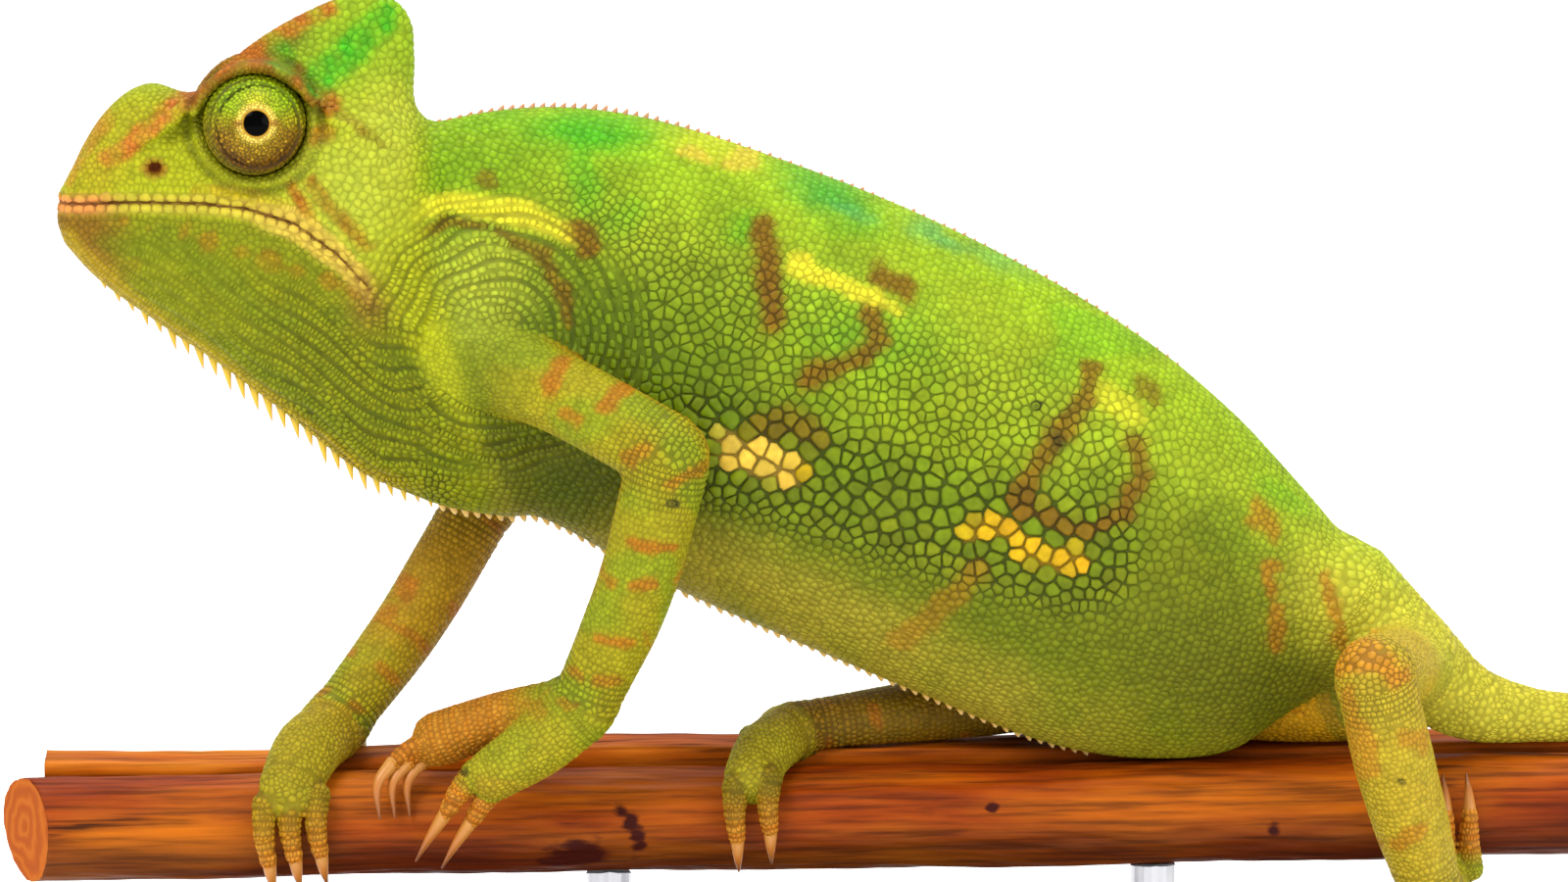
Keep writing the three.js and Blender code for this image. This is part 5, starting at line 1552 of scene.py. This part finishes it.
def scale_class(chosen, corners, rings):
    """Domed scales that fill their cells.

    Gives points, triangles, and for each point its root's number, the number of the scale beside it, its painted
    shade (dark at the dome's foot, lighter on its crown) and its spoke.
    """
    back, side = tangents(site_ways[chosen])
    offset = sites[around[chosen]] - sites[chosen][:, None]
    flat = np.stack([(offset * back[:, None]).sum(-1), (offset * side[:, None]).sum(-1)], -1)
    span = np.linalg.norm(offset, axis=-1)
    agree = (site_ways[around[chosen]] * site_ways[chosen][:, None]).sum(-1) > 0.1
    turn = (np.arange(corners)[None] + rng.random((len(chosen), 1))) / corners * 2 * np.pi
    spoke = np.stack([np.cos(turn), np.sin(turn)], -1)
    toward = np.einsum("njk,nck->ncj", flat, spoke)
    reach = (span**2 / 2)[:, None, :] / np.maximum(toward, 1e-6)
    reach = np.where((toward > 1e-6) & agree[:, None, :], reach, 1e6)
    beside = np.take_along_axis(around[chosen], reach.argmin(-1), 1)
    reach = reach.min(-1)
    size = site_sizes[chosen]
    depth = site_relief[chosen]
    reach = np.minimum(reach, 0.85 * size[:, None])
    if COARSER == 1:
        reach = np.minimum(reach, row_reach(chosen, back, side, spoke))
    gap = 0.012 + (0.01 + 0.032 * depth[:, None]) * size[:, None] / COARSER
    reach = np.maximum(reach - gap, 0.15 * size[:, None])
    height = size * (0.05 + 0.1 * depth) * (0.85 + 0.3 * rng.random(len(chosen)))
    height = np.minimum(height, COAT - 0.02)
    points, painted_shades = [], []
    for share, rise, shade in rings:
        ring = sites[chosen][:, None] + reach[..., None] * share * (
            spoke[..., :1] * back[:, None] + spoke[..., 1:] * side[:, None]
        )
        flat_ring = ring.reshape(-1, 3)
        ways = np.repeat(site_ways[chosen], corners, 0)
        flat_ring = flesh.settle(flat_ring, -COAT, ways, rounds=2)
        lift = np.repeat(height * rise, corners) if rise >= 0 else np.full(len(flat_ring), -0.08)
        points.append((flat_ring + ways * lift[:, None]).reshape(len(chosen), corners, 3))
        painted_shades.append(np.repeat(1 - (1 - shade) * (0.25 + 0.75 * depth[:, None]), corners, 1))
    centre = sites[chosen] + site_ways[chosen] * height[:, None]
    points = np.concatenate([np.concatenate(points, 1), centre[:, None]], 1)
    painted_shades = np.concatenate([np.concatenate(painted_shades, 1), np.full((len(chosen), 1), 1.02)], 1)
    spokes = np.concatenate([np.tile(spoke, (1, len(rings), 1)), np.zeros((len(chosen), 1, 2))], 1)
    k = np.arange(corners)
    after = (k + 1) % corners
    faces = []
    for level in range(len(rings) - 1):
        a, b = k + level * corners, after + level * corners
        faces += [np.column_stack([a, b, b + corners]), np.column_stack([a, b + corners, a + corners])]
    last = (len(rings) - 1) * corners
    faces.append(np.column_stack([k + last, after + last, np.full(corners, len(rings) * corners)]))
    faces = np.vstack(faces)
    each = len(rings) * corners + 1
    triangles = faces[None] + (np.arange(len(chosen)) * each)[:, None, None]
    roots = np.repeat(chosen, each)
    beside = np.concatenate([np.tile(beside, (1, len(rings))), chosen[:, None]], 1)
    return points.reshape(-1, 3), triangles.reshape(-1, 3), roots, beside.ravel(), painted_shades.ravel(), spokes.reshape(-1, 2)


def unwrap(points, spots):
    """Each root's place on an unwrap of the skin: a strip for the body, and one for each limb."""
    x, y, z = points.T
    middle = np.where(x < -52, 118, along(TRUNK, np.clip(x, -58, 58), 2) * 0.58 + along(TRUNK, np.clip(x, -58, 58), 1) * 0.42)
    turn = np.arctan2(y, z - middle) / (2 * np.pi) + 0.5
    uv = np.column_stack([0.005 + 0.99 * (x + 92.5) / 152, 0.005 + 0.54 * turn])
    shelf_x, shelf_y, shelf_height = 0.0, 0.56, 0.0
    for number, limb in enumerate(limbs):
        width = 0.006 + limb.length / 170
        height = 0.006 + 2 * np.pi * float(np.mean(limb.radii)) / 260
        if shelf_x + width > 1:
            shelf_x, shelf_y, shelf_height = 0.0, shelf_y + shelf_height, 0.0
        mine = spots["limb"] == number
        uv[mine, 0] = shelf_x + 0.003 + (width - 0.006) * spots["share"][mine]
        uv[mine, 1] = shelf_y + 0.003 + (height - 0.006) * (spots["angle"][mine] / (2 * np.pi) + 0.5)
        shelf_x += width
        shelf_height = max(shelf_height, height)
    return np.clip(uv, 0.002, 0.998)


site_colours = paint(sites, site_spots)
unevenness = (0.4 + 0.6 * site_relief)[:, None]
tint = 1 + 0.13 * unevenness * rng.normal(size=(len(sites), 1)).clip(-1.6, 1.6)
warm = 1 + 0.035 * unevenness * rng.normal(size=(len(sites), 1)).clip(-1.6, 1.6) * np.array([1, -0.4, -1])
site_colours = site_colours * tint * warm
site_uvs = unwrap(sites, site_spots)

COAT_GROUPS = {
    "head": (site_spots["kind"] == 0) & (sites[:, 0] < -56),
    "neck": (site_spots["kind"] == 0) & (sites[:, 0] >= -56) & (sites[:, 0] < -30),
    "flank_left": (site_spots["kind"] == 0) & (sites[:, 0] >= -30) & (sites[:, 1] < 0),
    "flank_right": (site_spots["kind"] == 0) & (sites[:, 0] >= -30) & (sites[:, 1] >= 0),
    "tail": site_spots["kind"] == 1,
}
for leg in LEGS:
    mine = np.array([limb.name.startswith(leg) for limb in limbs])
    COAT_GROUPS[leg] = (site_spots["limb"] >= 0) & mine[site_spots["limb"]]

BLEED = 0.42  # how much of its neighbours' colour a small scale's rim takes
# Rings of a scale: share of its reach, rise, and painted shade, dark at the foot where scales meet and lighter on the
# crown.
SMALL_RINGS = ((1.0, -1, 0.45), (0.82, 0.75, 0.98))
LARGE_RINGS = ((1.0, -1, 0.32), (0.93, 0.5, 0.85), (0.7, 0.92, 1.05))
SCALE_CLASSES = ((7, SMALL_RINGS, 0, 0.85), (8, SMALL_RINGS, 0.85, 1.25), (12, LARGE_RINGS, 1.25, 9))
for group, member in COAT_GROUPS.items():
    parts = []
    for corners, rings, low, high in SCALE_CLASSES:
        chosen = np.nonzero(member & shown & (site_sizes >= low * COARSER) & (site_sizes < high * COARSER))[0]
        if len(chosen):
            parts.append(scale_class(chosen, corners, rings))
    start = np.cumsum([0] + [len(part[0]) for part in parts[:-1]])
    points = np.vstack([part[0] for part in parts])
    triangles = np.vstack([part[1] + first for part, first in zip(parts, start)])
    roots = np.concatenate([part[2] for part in parts])
    beside = np.concatenate([part[3] for part in parts])
    painted_shades = np.concatenate([part[4] for part in parts])
    spokes = np.vstack([part[5] for part in parts])
    own = 1 - BLEED * smooth(2.0, 1.1, site_sizes[roots])[:, None]
    colours = (site_colours[roots] * own + site_colours[beside] * (1 - own)) * painted_shades[:, None]
    uvs = site_uvs[roots] + spokes * 0.0013
    coat = new_mesh("scales_" + group, points, triangles, hide, colours, uvs)
    finish_piece(coat)
    print(group, len(triangles))


# ---------------------------------------------------------------- crests and claws
def cone_mesh(roots, tips, radii, bend, taper, sides=9, rows=5):
    """Curved horny cones from roots to tips, as one mesh; the colour runs from 0 at the root to 1 at the tip."""
    all_points, all_faces, shares = [], [], []
    share = np.linspace(0, 1, rows + 1)[:-1]
    for root, tip, radius in zip(roots, tips, radii):
        axis = tip - root
        way = unit(axis[None])[0]
        aside = unit(np.cross(way, [0.3, 1.0, 0.2])[None])[0]
        other = np.cross(way, aside)
        turn = np.arange(sides) / sides * 2 * np.pi
        rings = []
        for t in share:
            centre = root + axis * t + bend * t * t
            width = radius * (1 - t) ** taper
            rings.append(centre + width * (np.cos(turn)[:, None] * aside + np.sin(turn)[:, None] * other))
        rings.append(np.repeat((root + axis + bend)[None], sides, 0) + 0.02 * radius * aside)
        points, faces = loft(rings)
        all_faces.append(faces + sum(len(p) for p in all_points))
        all_points.append(points)
        shares.append(np.append(np.repeat(np.append(share, 1.0), sides), [0, 1]))
    return np.vstack(all_points), np.vstack(all_faces), np.concatenate(shares)


def grade(shares, *stops):
    """A colour for each share along a list of colours."""
    places = np.linspace(0, 1, len(stops))
    return np.column_stack([np.interp(shares, places, [stop[k] for stop in stops]) for k in range(3)])


def crest(name, x, upward, lengths, radii, lean, taper, colours):
    z = midline(x, upward)
    way = np.column_stack([np.full(len(x), lean), np.zeros(len(x)), np.full(len(x), 1.0 if upward else -1.0)])
    roots = np.column_stack([x, np.zeros(len(x)), z]) - 0.5 * way
    tips = roots + way * (lengths + 0.5)[:, None]
    points, faces, shares = cone_mesh(roots, tips, radii, np.array([0.15, 0, 0]), taper)
    return finish_piece(new_mesh(name, points, faces, claw_horn, grade(shares, *colours)))


claw_horn = claw_material()
CREST_YELLOW = (rgb(190, 160, 10), rgb(228, 186, 30), rgb(222, 160, 60))
CREST_PINK = (rgb(166, 142, 40), rgb(222, 176, 80), rgb(236, 206, 140))
CREST_BACK = (rgb(120, 150, 40), rgb(170, 120, 60), rgb(196, 128, 84))

gular_x = np.arange(-86.8, -50.5, 1.5)
gular_share = (gular_x - gular_x[0]) / (gular_x[-1] - gular_x[0])
crest(
    "crest_throat", gular_x, False, 0.8 + 1.9 * np.sin(np.pi * gular_share) ** 0.9 + 0.3 * rng.normal(size=len(gular_x)),
    0.44 + 0.18 * np.sin(np.pi * gular_share), 0.12, 0.85, CREST_YELLOW,
)
keel_x = np.arange(-49.5, 24, 1.3)
crest(
    "crest_belly", keel_x, False, 0.8 + 0.2 * np.exp(-(((keel_x + 48) / 10) ** 2)) + 0.06 * rng.normal(size=len(keel_x)),
    np.full(len(keel_x), 0.62), 0.12, 0.6, CREST_PINK,
)
dorsal_x = np.arange(-49.5, 34, 1.15)
crest(
    "crest_back", dorsal_x, True, 0.3 + 0.45 * np.exp(-(((dorsal_x + 34) / 14) ** 2)) + 0.06 * rng.normal(size=len(dorsal_x)),
    np.full(len(dorsal_x), 0.5), 0.4, 0.7, CREST_BACK,
)

claw_points, claw_faces, claw_shares = [], [], []
for palm, palm_radii, toes, step, toe, toe_radii, claw in BUNDLES.values():
    for i in range(toes):
        limb = Limb("claw", "claw", np.array(claw) + np.array(step) * i, [0.85, 0.72, 0.52, 0.3, 0.12], count=12)
        points, faces = limb.form(sides=14, end=0.5)
        claw_faces.append(faces + sum(len(p) for p in claw_points))
        claw_points.append(points)
        claw_shares.append(np.clip((points - limb.path[0]) @ unit((limb.path[-1] - limb.path[0])[None])[0] / limb.length, 0, 1))
claw_colours = grade(np.concatenate(claw_shares), rgb(192, 132, 56), rgb(178, 106, 42), rgb(110, 58, 24))
claws = new_mesh("claws", np.vstack(claw_points), np.vstack(claw_faces), claw_horn, claw_colours)
finish_piece(claws)


def lathe(profile, axis, centre, sides=96):
    """A turned form: profile is (radius, height) along the axis."""
    way = unit(np.array(axis, float)[None])[0]
    aside = unit(np.cross(way, [0, 0, 1.0])[None])[0]
    other = np.cross(way, aside)
    turn = np.arange(sides) / sides * 2 * np.pi
    rings = []
    for radius, height in profile:
        spoke = np.cos(turn)[:, None] * aside + np.sin(turn)[:, None] * other
        rings.append(np.array(centre) + way * height + radius * spoke)
    return loft(rings)


# ---------------------------------------------------------------- eyes
GAZE = np.array([0.05, -1.0, 0.13])
OPENING = 1.72  # radius of the lids' opening
PUPIL = 1.4


def fold_place(turn, side):
    """The angle from the line of sight at which the lid's inner fold lies: nearer to the pupil in front."""
    forward = -side * np.cos(turn)
    return 54 - 4 * forward - 5 * np.sin(turn)


def turret_radius(tilt, turn, side):
    """Distance of the lid's surface from the eye's centre, at an angle from the line of sight."""
    degrees = np.degrees(tilt)
    fold = fold_place(turn, side)
    opening = math.degrees(math.asin(OPENING / EYE_RADIUS))
    base = EYE_RADIUS - 0.3 + 0.14 * bump(degrees, opening, 8)
    folds = -0.42 * bump(degrees, fold, 2.8) + 0.12 * bump(degrees, fold + 5, 3) - 0.22 * bump(degrees, fold + 13, 2.4)
    below = smooth(0.1, -0.6, np.sin(turn))
    folds -= 0.12 * below * bump(degrees, fold - 9, 2.0)
    return base + folds + 0.03 * np.sin(np.radians(degrees * 24)) * smooth(24, 40, degrees)


def eye_frame(side):
    way = unit((GAZE * np.array([1, side, 1]))[None])[0]
    aside = unit(np.cross([0, 0, 1.0], way)[None])[0]
    return way, aside, np.cross(way, aside)


def lid_colour(tilt, turn, side):
    """Lime above, olive-brown below with gold grains, a bright gold rim round the opening, and painted shade in the
    lid's folds.
    """
    degrees = np.degrees(tilt)
    up = np.sin(turn)
    colour = mix(np.zeros((len(tilt), 3)) + rgb(156, 146, 14), rgb(140, 170, 14), smooth(0.0, 0.6, up))
    colour = mix(colour, rgb(132, 88, 4), 0.85 * smooth(0.15, -0.35, up) * smooth(18, 30, degrees))
    colour = mix(colour, rgb(100, 62, 2), 0.75 * smooth(-0.3, -0.8, up) * smooth(34, 56, degrees))
    colour = mix(colour, rgb(216, 204, 50), 0.75 * smooth(52, 22, degrees) * (0.2 + 0.8 * bump(np.abs(up - 1) ** 0.5, 0, 0.35)))
    colour = mix(colour, rgb(252, 214, 92), smooth(27, 18, degrees))
    colour = mix(colour, rgb(140, 74, 12), 0.75 * bump(up, 0, 0.2) * smooth(34, 20, degrees))
    fold = fold_place(turn, side)
    # painted shade in the creases of the lid's folds
    colour = mix(colour, rgb(66, 50, 4), 0.8 * bump(degrees, fold, 2.2) + 0.6 * bump(degrees, fold + 13, 2.6))
    colour = mix(colour, rgb(96, 66, 6), 0.5 * smooth(0.1, -0.6, up) * bump(degrees, fold - 9, 2.4))
    return mix(colour, rgb(112, 110, 14), 0.6 * smooth(fold + 2, fold + 12, degrees))


def make_eye(side):
    centre = EYE * np.array([1, side, 1])
    way, aside, up = eye_frame(side)
    label = "left" if side > 0 else "right"
    sides = 144
    turn = np.arange(sides) / sides * 2 * np.pi
    tilts = np.radians(np.concatenate([np.linspace(13, 17, 4), np.linspace(17.6, 118, 76)]))
    rings, colours = [], []
    for tilt in tilts:
        reach = turret_radius(tilt, turn, side)[:, None] if tilt > math.radians(17.4) else EYE_RADIUS - 0.6
        spoke = np.cos(turn)[:, None] * aside + np.sin(turn)[:, None] * up
        rings.append(centre + reach * (math.cos(tilt) * way + math.sin(tilt) * spoke))
        # the lids under the granules are painted at half brightness: painted shade between the granules
        colours.append(lid_colour(np.full(sides, tilt), turn, side) * 0.5)
    points, faces = loft(rings, closed_ends=False)
    lids = new_mesh("eyelids_" + label, points, faces, hide, np.vstack(colours))
    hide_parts("eye_" + label)
    finish_piece(lids)

    # granules in rings on the lids
    dome_points, dome_faces, dome_colours, dome_uvs = [], [], [], []
    tilt = math.radians(18.6)
    corners = 7
    while tilt < math.radians(92):
        grain = (0.34 + 0.26 * smooth(20, 60, math.degrees(tilt))) * COARSER
        count = max(8, int(2 * math.pi * EYE_RADIUS * math.sin(tilt) / grain))
        turns = (np.arange(count) + rng.random() + 0.16 * rng.normal(size=count)) / count * 2 * np.pi
        spoke = np.cos(turns)[:, None] * aside + np.sin(turns)[:, None] * up
        tilts = tilt + 0.22 * grain / EYE_RADIUS * rng.normal(size=count).clip(-1, 1)
        out = np.cos(tilts)[:, None] * way + np.sin(tilts)[:, None] * spoke
        radius = turret_radius(tilts, turns, side)
        roots = centre + radius[:, None] * out
        along_ring = np.cross(out, way)
        along_ring = unit(along_ring)
        across_ring = np.cross(along_ring, out)
        spin = np.arange(corners) / corners * 2 * np.pi
        half = grain * 0.47
        levels = []
        for share, rise in ((1.0, -0.04), (0.66, 0.06)):
            spread = np.cos(spin)[None, :, None] * along_ring[:, None] + np.sin(spin)[None, :, None] * across_ring[:, None]
            levels.append(roots[:, None] + half * share * spread + rise * out[:, None])
        tops = (roots + 0.085 * out)[:, None]
        block = np.concatenate(levels + [tops], 1)
        each = 2 * corners + 1
        k = np.arange(corners)
        after = (k + 1) % corners
        unit_faces = np.vstack([
            np.column_stack([k, after, after + corners]),
            np.column_stack([k, after + corners, k + corners]),
            np.column_stack([k + corners, after + corners, np.full(corners, 2 * corners)]),
        ])
        start = sum(len(p) for p in dome_points)
        dome_faces.append((unit_faces[None] + (np.arange(count) * each)[:, None, None] + start).reshape(-1, 3))
        dome_points.append(block.reshape(-1, 3))
        tone = lid_colour(tilts, turns, side) * (1 + 0.13 * rng.normal(size=(count, 1)).clip(-1.5, 1.5))
        golden = (rng.random(count) < 0.15) * smooth(0.1, -0.4, np.sin(turns)) * (tilt < 1.1)
        tone = mix(tone, rgb(190, 150, 30), 0.7 * golden)
        # painted shade on each granule: darker at its foot, lighter on its crown
        shade = np.concatenate([np.full(corners, 0.68), np.full(corners, 1.0), [1.04]])
        dome_colours.append((tone[:, None] * shade[None, :, None]).reshape(-1, 3))
        place = np.column_stack([0.25 + 0.5 * (side < 0) + 0.22 * tilt / 1.7 * np.cos(turns), 0.5 + 0.44 * tilt / 1.7 * np.sin(turns)])
        dome_uvs.append(np.repeat(place, each, 0) + np.tile(
            np.vstack([np.column_stack([np.cos(spin), np.sin(spin)])] * 2 + [np.zeros((1, 2))]) * 0.0013, (count, 1)
        ))
        tilt += grain * 0.9 / EYE_RADIUS
    granules = new_mesh(
        "scales_eye_" + label, np.vstack(dome_points), np.vstack(dome_faces), hide,
        np.vstack(dome_colours), np.vstack(dome_uvs),
    )
    finish_piece(granules)

    # the eyeball that shows in the opening
    ball = EYE_RADIUS - 0.62
    rings, colours = [], []
    for tilt in np.radians(np.linspace(1, 40, 40)):
        spoke = np.cos(turn)[:, None] * aside + np.sin(turn)[:, None] * up
        width = ball * math.sin(tilt)
        swell = 0.2 * math.exp(-((width / 1.5) ** 2))
        rings.append(centre + (ball + swell) * (math.cos(tilt) * way + math.sin(tilt) * spoke))
        iris = smooth(PUPIL - 0.05, PUPIL + 0.08, width)
        colours.append(np.tile(mix(np.zeros((1, 3)) + rgb(6, 5, 4), rgb(226, 170, 60), np.array([iris])), (sides, 1)))
    points, faces = loft(rings, closed_ends=False)
    points = np.vstack([points, centre + (ball + 0.25) * way])
    k = np.arange(sides)
    faces = np.vstack([faces, np.column_stack([(k + 1) % sides, k, np.full(sides, len(points) - 1)])])
    colours = np.vstack(colours + [[rgb(6, 5, 4)]])
    eyeball = new_mesh("eyeball_" + label, points, faces, glossy_eye, colours)
    finish_piece(eyeball)


glossy_eye = eyeball_material()
for side in (1, -1):
    make_eye(side)

# ---------------------------------------------------------------- perch
# Knots and the dark crack beside them: place, and reach.
POLE_KNOTS = (
    ((-36.4, -7.2, 48), 1.5), ((-34.6, -7.2, 48.4), 1.7), ((-32.8, -7.2, 47.7), 1.2), ((-38.2, -7.2, 47.4), 0.9),
    ((-29.8, -7.2, 53.2), 0.7), ((-28.9, -7.2, 52), 0.7), ((-28, -7.2, 50.6), 0.7), ((-27.7, -7.2, 49.2), 0.7),
    ((-28.1, -7.2, 47.7), 0.7), ((-28.7, -7.2, 46.3), 0.7), ((12, -7, 53), 0.5), ((44, -7, 50), 0.6),
)
pole_wood = wood_material("pole_wood", rgb(96, 28, 2), rgb(140, 58, 5), rgb(176, 92, 16), 0.5, POLE_KNOTS)
slat_wood = wood_material("slat_wood", rgb(128, 52, 2), rgb(176, 86, 8), rgb(206, 122, 30), 0.62)
end_grain = end_grain_material()


def make_pole():
    sides, rows = 160, 420
    turn = np.arange(sides) / sides * 2 * np.pi
    x = np.linspace(POLE["left"] - 4, POLE["right"], rows)
    grid_x, grid_turn = np.meshgrid(x, turn, indexing="ij")
    r = POLE["radius"] + 0.16 * np.sin(3 * grid_turn + 0.05 * grid_x) + 0.1 * np.sin(0.19 * grid_x + grid_turn)
    place = np.column_stack([grid_x.ravel() * 0.12, 9 * np.cos(grid_turn).ravel(), 9 * np.sin(grid_turn).ravel()])
    r = r - 0.1 + 0.07 * wobble(place, 3.0, 31).reshape(r.shape) + 0.06 * wobble(place * 2.3, 3.0, 32).reshape(r.shape)
    y = POLE["y"] + r * np.cos(grid_turn)
    z = POLE["z"] + r * np.sin(grid_turn)
    slope = math.tan(math.radians(POLE["cut_angle"]))
    left_end = POLE["left"] - slope * y
    squeeze = (POLE["right"] - left_end) / (POLE["right"] - x[0])
    sheared = POLE["right"] - (POLE["right"] - grid_x) * squeeze
    points, faces = loft(np.stack([sheared, y, z], -1))
    pole = new_mesh("branch_pole", points, faces, pole_wood)
    pole.data.materials.append(end_grain)
    ends = 2 * sides
    index = np.zeros(len(faces), np.int32)
    index[-ends:] = 1
    pole.data.polygons.foreach_set("material_index", index)
    smooth_flags = np.ones(len(faces), bool)
    smooth_flags[-ends:] = False
    pole.data.polygons.foreach_set("use_smooth", smooth_flags)
    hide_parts("perch_pole")
    return finish_piece(pole)


def make_slat():
    rows = 360
    x = np.linspace(SLAT["left"], SLAT["right"], rows)
    front, back, bottom = SLAT["front"], SLAT["back"], SLAT["bottom"]
    corners = np.array([(front, bottom), (back - 1, bottom), (back, bottom + 1.4), (back, -1.6), (back - 1.6, 0), (front, 0)])
    rings = []
    for at in x:
        section = corners.copy()
        section[3:, 1] += slat_top(at)
        outline = []
        for (ay, az), (by, bz) in zip(section, np.roll(section, -1, 0)):
            for t in np.linspace(0, 1, 9)[:-1]:
                outline.append((at, ay + (by - ay) * t, az + (bz - az) * t))
        rings.append(outline)
    rings = np.array(rings)
    flat = rings.reshape(-1, 3)
    chip = wobble(flat * np.array([0.14, 1.6, 1.6]), 3.0, 41) + 0.6 * wobble(flat * np.array([0.3, 3.4, 3.4]), 3.0, 42)
    centre = np.array([0, (front + back) / 2, (bottom + SLAT["top"]) / 2])
    inward = unit((centre - flat) * np.array([0, 1, 1]))
    flat = flat + inward * (0.18 + 0.13 * chip)[:, None]
    points, faces = loft(flat.reshape(rings.shape))
    # the slat stops short of the pole, which it lies against
    away = points[:, 1:] - np.array([POLE["y"], POLE["z"]])
    distance = np.linalg.norm(away, axis=1)
    clear = POLE["radius"] + 0.25
    push = distance < clear
    points[push, 1:] = np.array([POLE["y"], POLE["z"]]) + away[push] * (clear / distance[push])[:, None]
    slat = new_mesh("branch_slat", points, faces, slat_wood)
    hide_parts("perch_slat")
    return finish_piece(slat)


make_pole()
make_slat()


# ---------------------------------------------------------------- stand, floor, light and camera
def dress(node, material):
    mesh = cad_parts[node].data
    mesh.materials.clear()
    mesh.materials.append(material)


dress("stand_base", plain_material("stand_plate", rgb(44, 44, 48), 0.42, grain_scale=1500))
steel = plain_material("stand_steel", rgb(190, 190, 194), 0.3, 1.0, 900, (1, 1, 0.05))
for rod in ("stand_rod_front", "stand_rod_rear"):
    dress(rod, steel)


def make_floor():
    """A pale sheet, wide enough to fill the picture from every side."""
    reach = 6000.0
    points = [(-reach, -reach, 0), (reach, -reach, 0), (reach, reach, 0), (-reach, reach, 0)]
    paper, _, shader = node_material("paper")
    shader.inputs["Base Color"].default_value = (0.88, 0.88, 0.88, 1)
    shader.inputs["Roughness"].default_value = 0.9
    shader.inputs["Emission Color"].default_value = (1, 1, 1, 1)
    shader.inputs["Emission Strength"].default_value = 0.3
    sheet = new_mesh("floor_sheet", points, [(0, 1, 2, 3)], paper)


def add_area(name, place, target, size, power, colour=(1, 1, 1)):
    light = bpy.data.lights.new(name, "AREA")
    light.shape = "DISK"
    light.size = size
    light.energy = power
    light.color = colour
    lamp = bpy.data.objects.new(name, light)
    lamp.location = place
    way = Vector(target) - Vector(place)
    lamp.rotation_euler = way.to_track_quat("-Z", "Y").to_euler()
    bpy.context.scene.collection.objects.link(lamp)


make_floor()
SUBJECT = (-0.01, 0, 0.09)
add_area("key", (-0.55, -0.75, 1.05), SUBJECT, 0.6, 11)
add_area("fill", (0.9, -0.9, 0.5), SUBJECT, 0.9, 5)
add_area("top", (0.1, 0.35, 1.2), SUBJECT, 0.7, 8)
world = bpy.data.worlds.new("studio")
world.use_nodes = True
world.node_tree.nodes["Background"].inputs["Color"].default_value = (1, 1, 1, 1)
world.node_tree.nodes["Background"].inputs["Strength"].default_value = 0.75
bpy.context.scene.world = world
bpy.context.scene.view_settings.view_transform = "Standard"

VIEW = {"azimuth": -4, "elevation": 10, "distance": 760, "centre": (-11, 0, 94), "lens": 155.25}


def make_camera():
    azimuth, elevation = math.radians(VIEW["azimuth"]), math.radians(VIEW["elevation"])
    backward = Vector((
        math.sin(azimuth) * math.cos(elevation), -math.cos(azimuth) * math.cos(elevation), math.sin(elevation)
    ))
    right = Vector((math.cos(azimuth), math.sin(azimuth), 0))
    up = backward.cross(right)
    data = bpy.data.cameras.new("camera")
    data.lens = VIEW["lens"]
    data.sensor_width = 36
    camera = bpy.data.objects.new("camera", data)
    place = (Vector(VIEW["centre"]) + backward * VIEW["distance"]) * MM
    turn = Matrix((right, up, backward)).transposed().to_4x4()
    camera.matrix_world = Matrix.Translation(place) @ turn
    bpy.context.scene.collection.objects.link(camera)
    bpy.context.scene.camera = camera


make_camera()
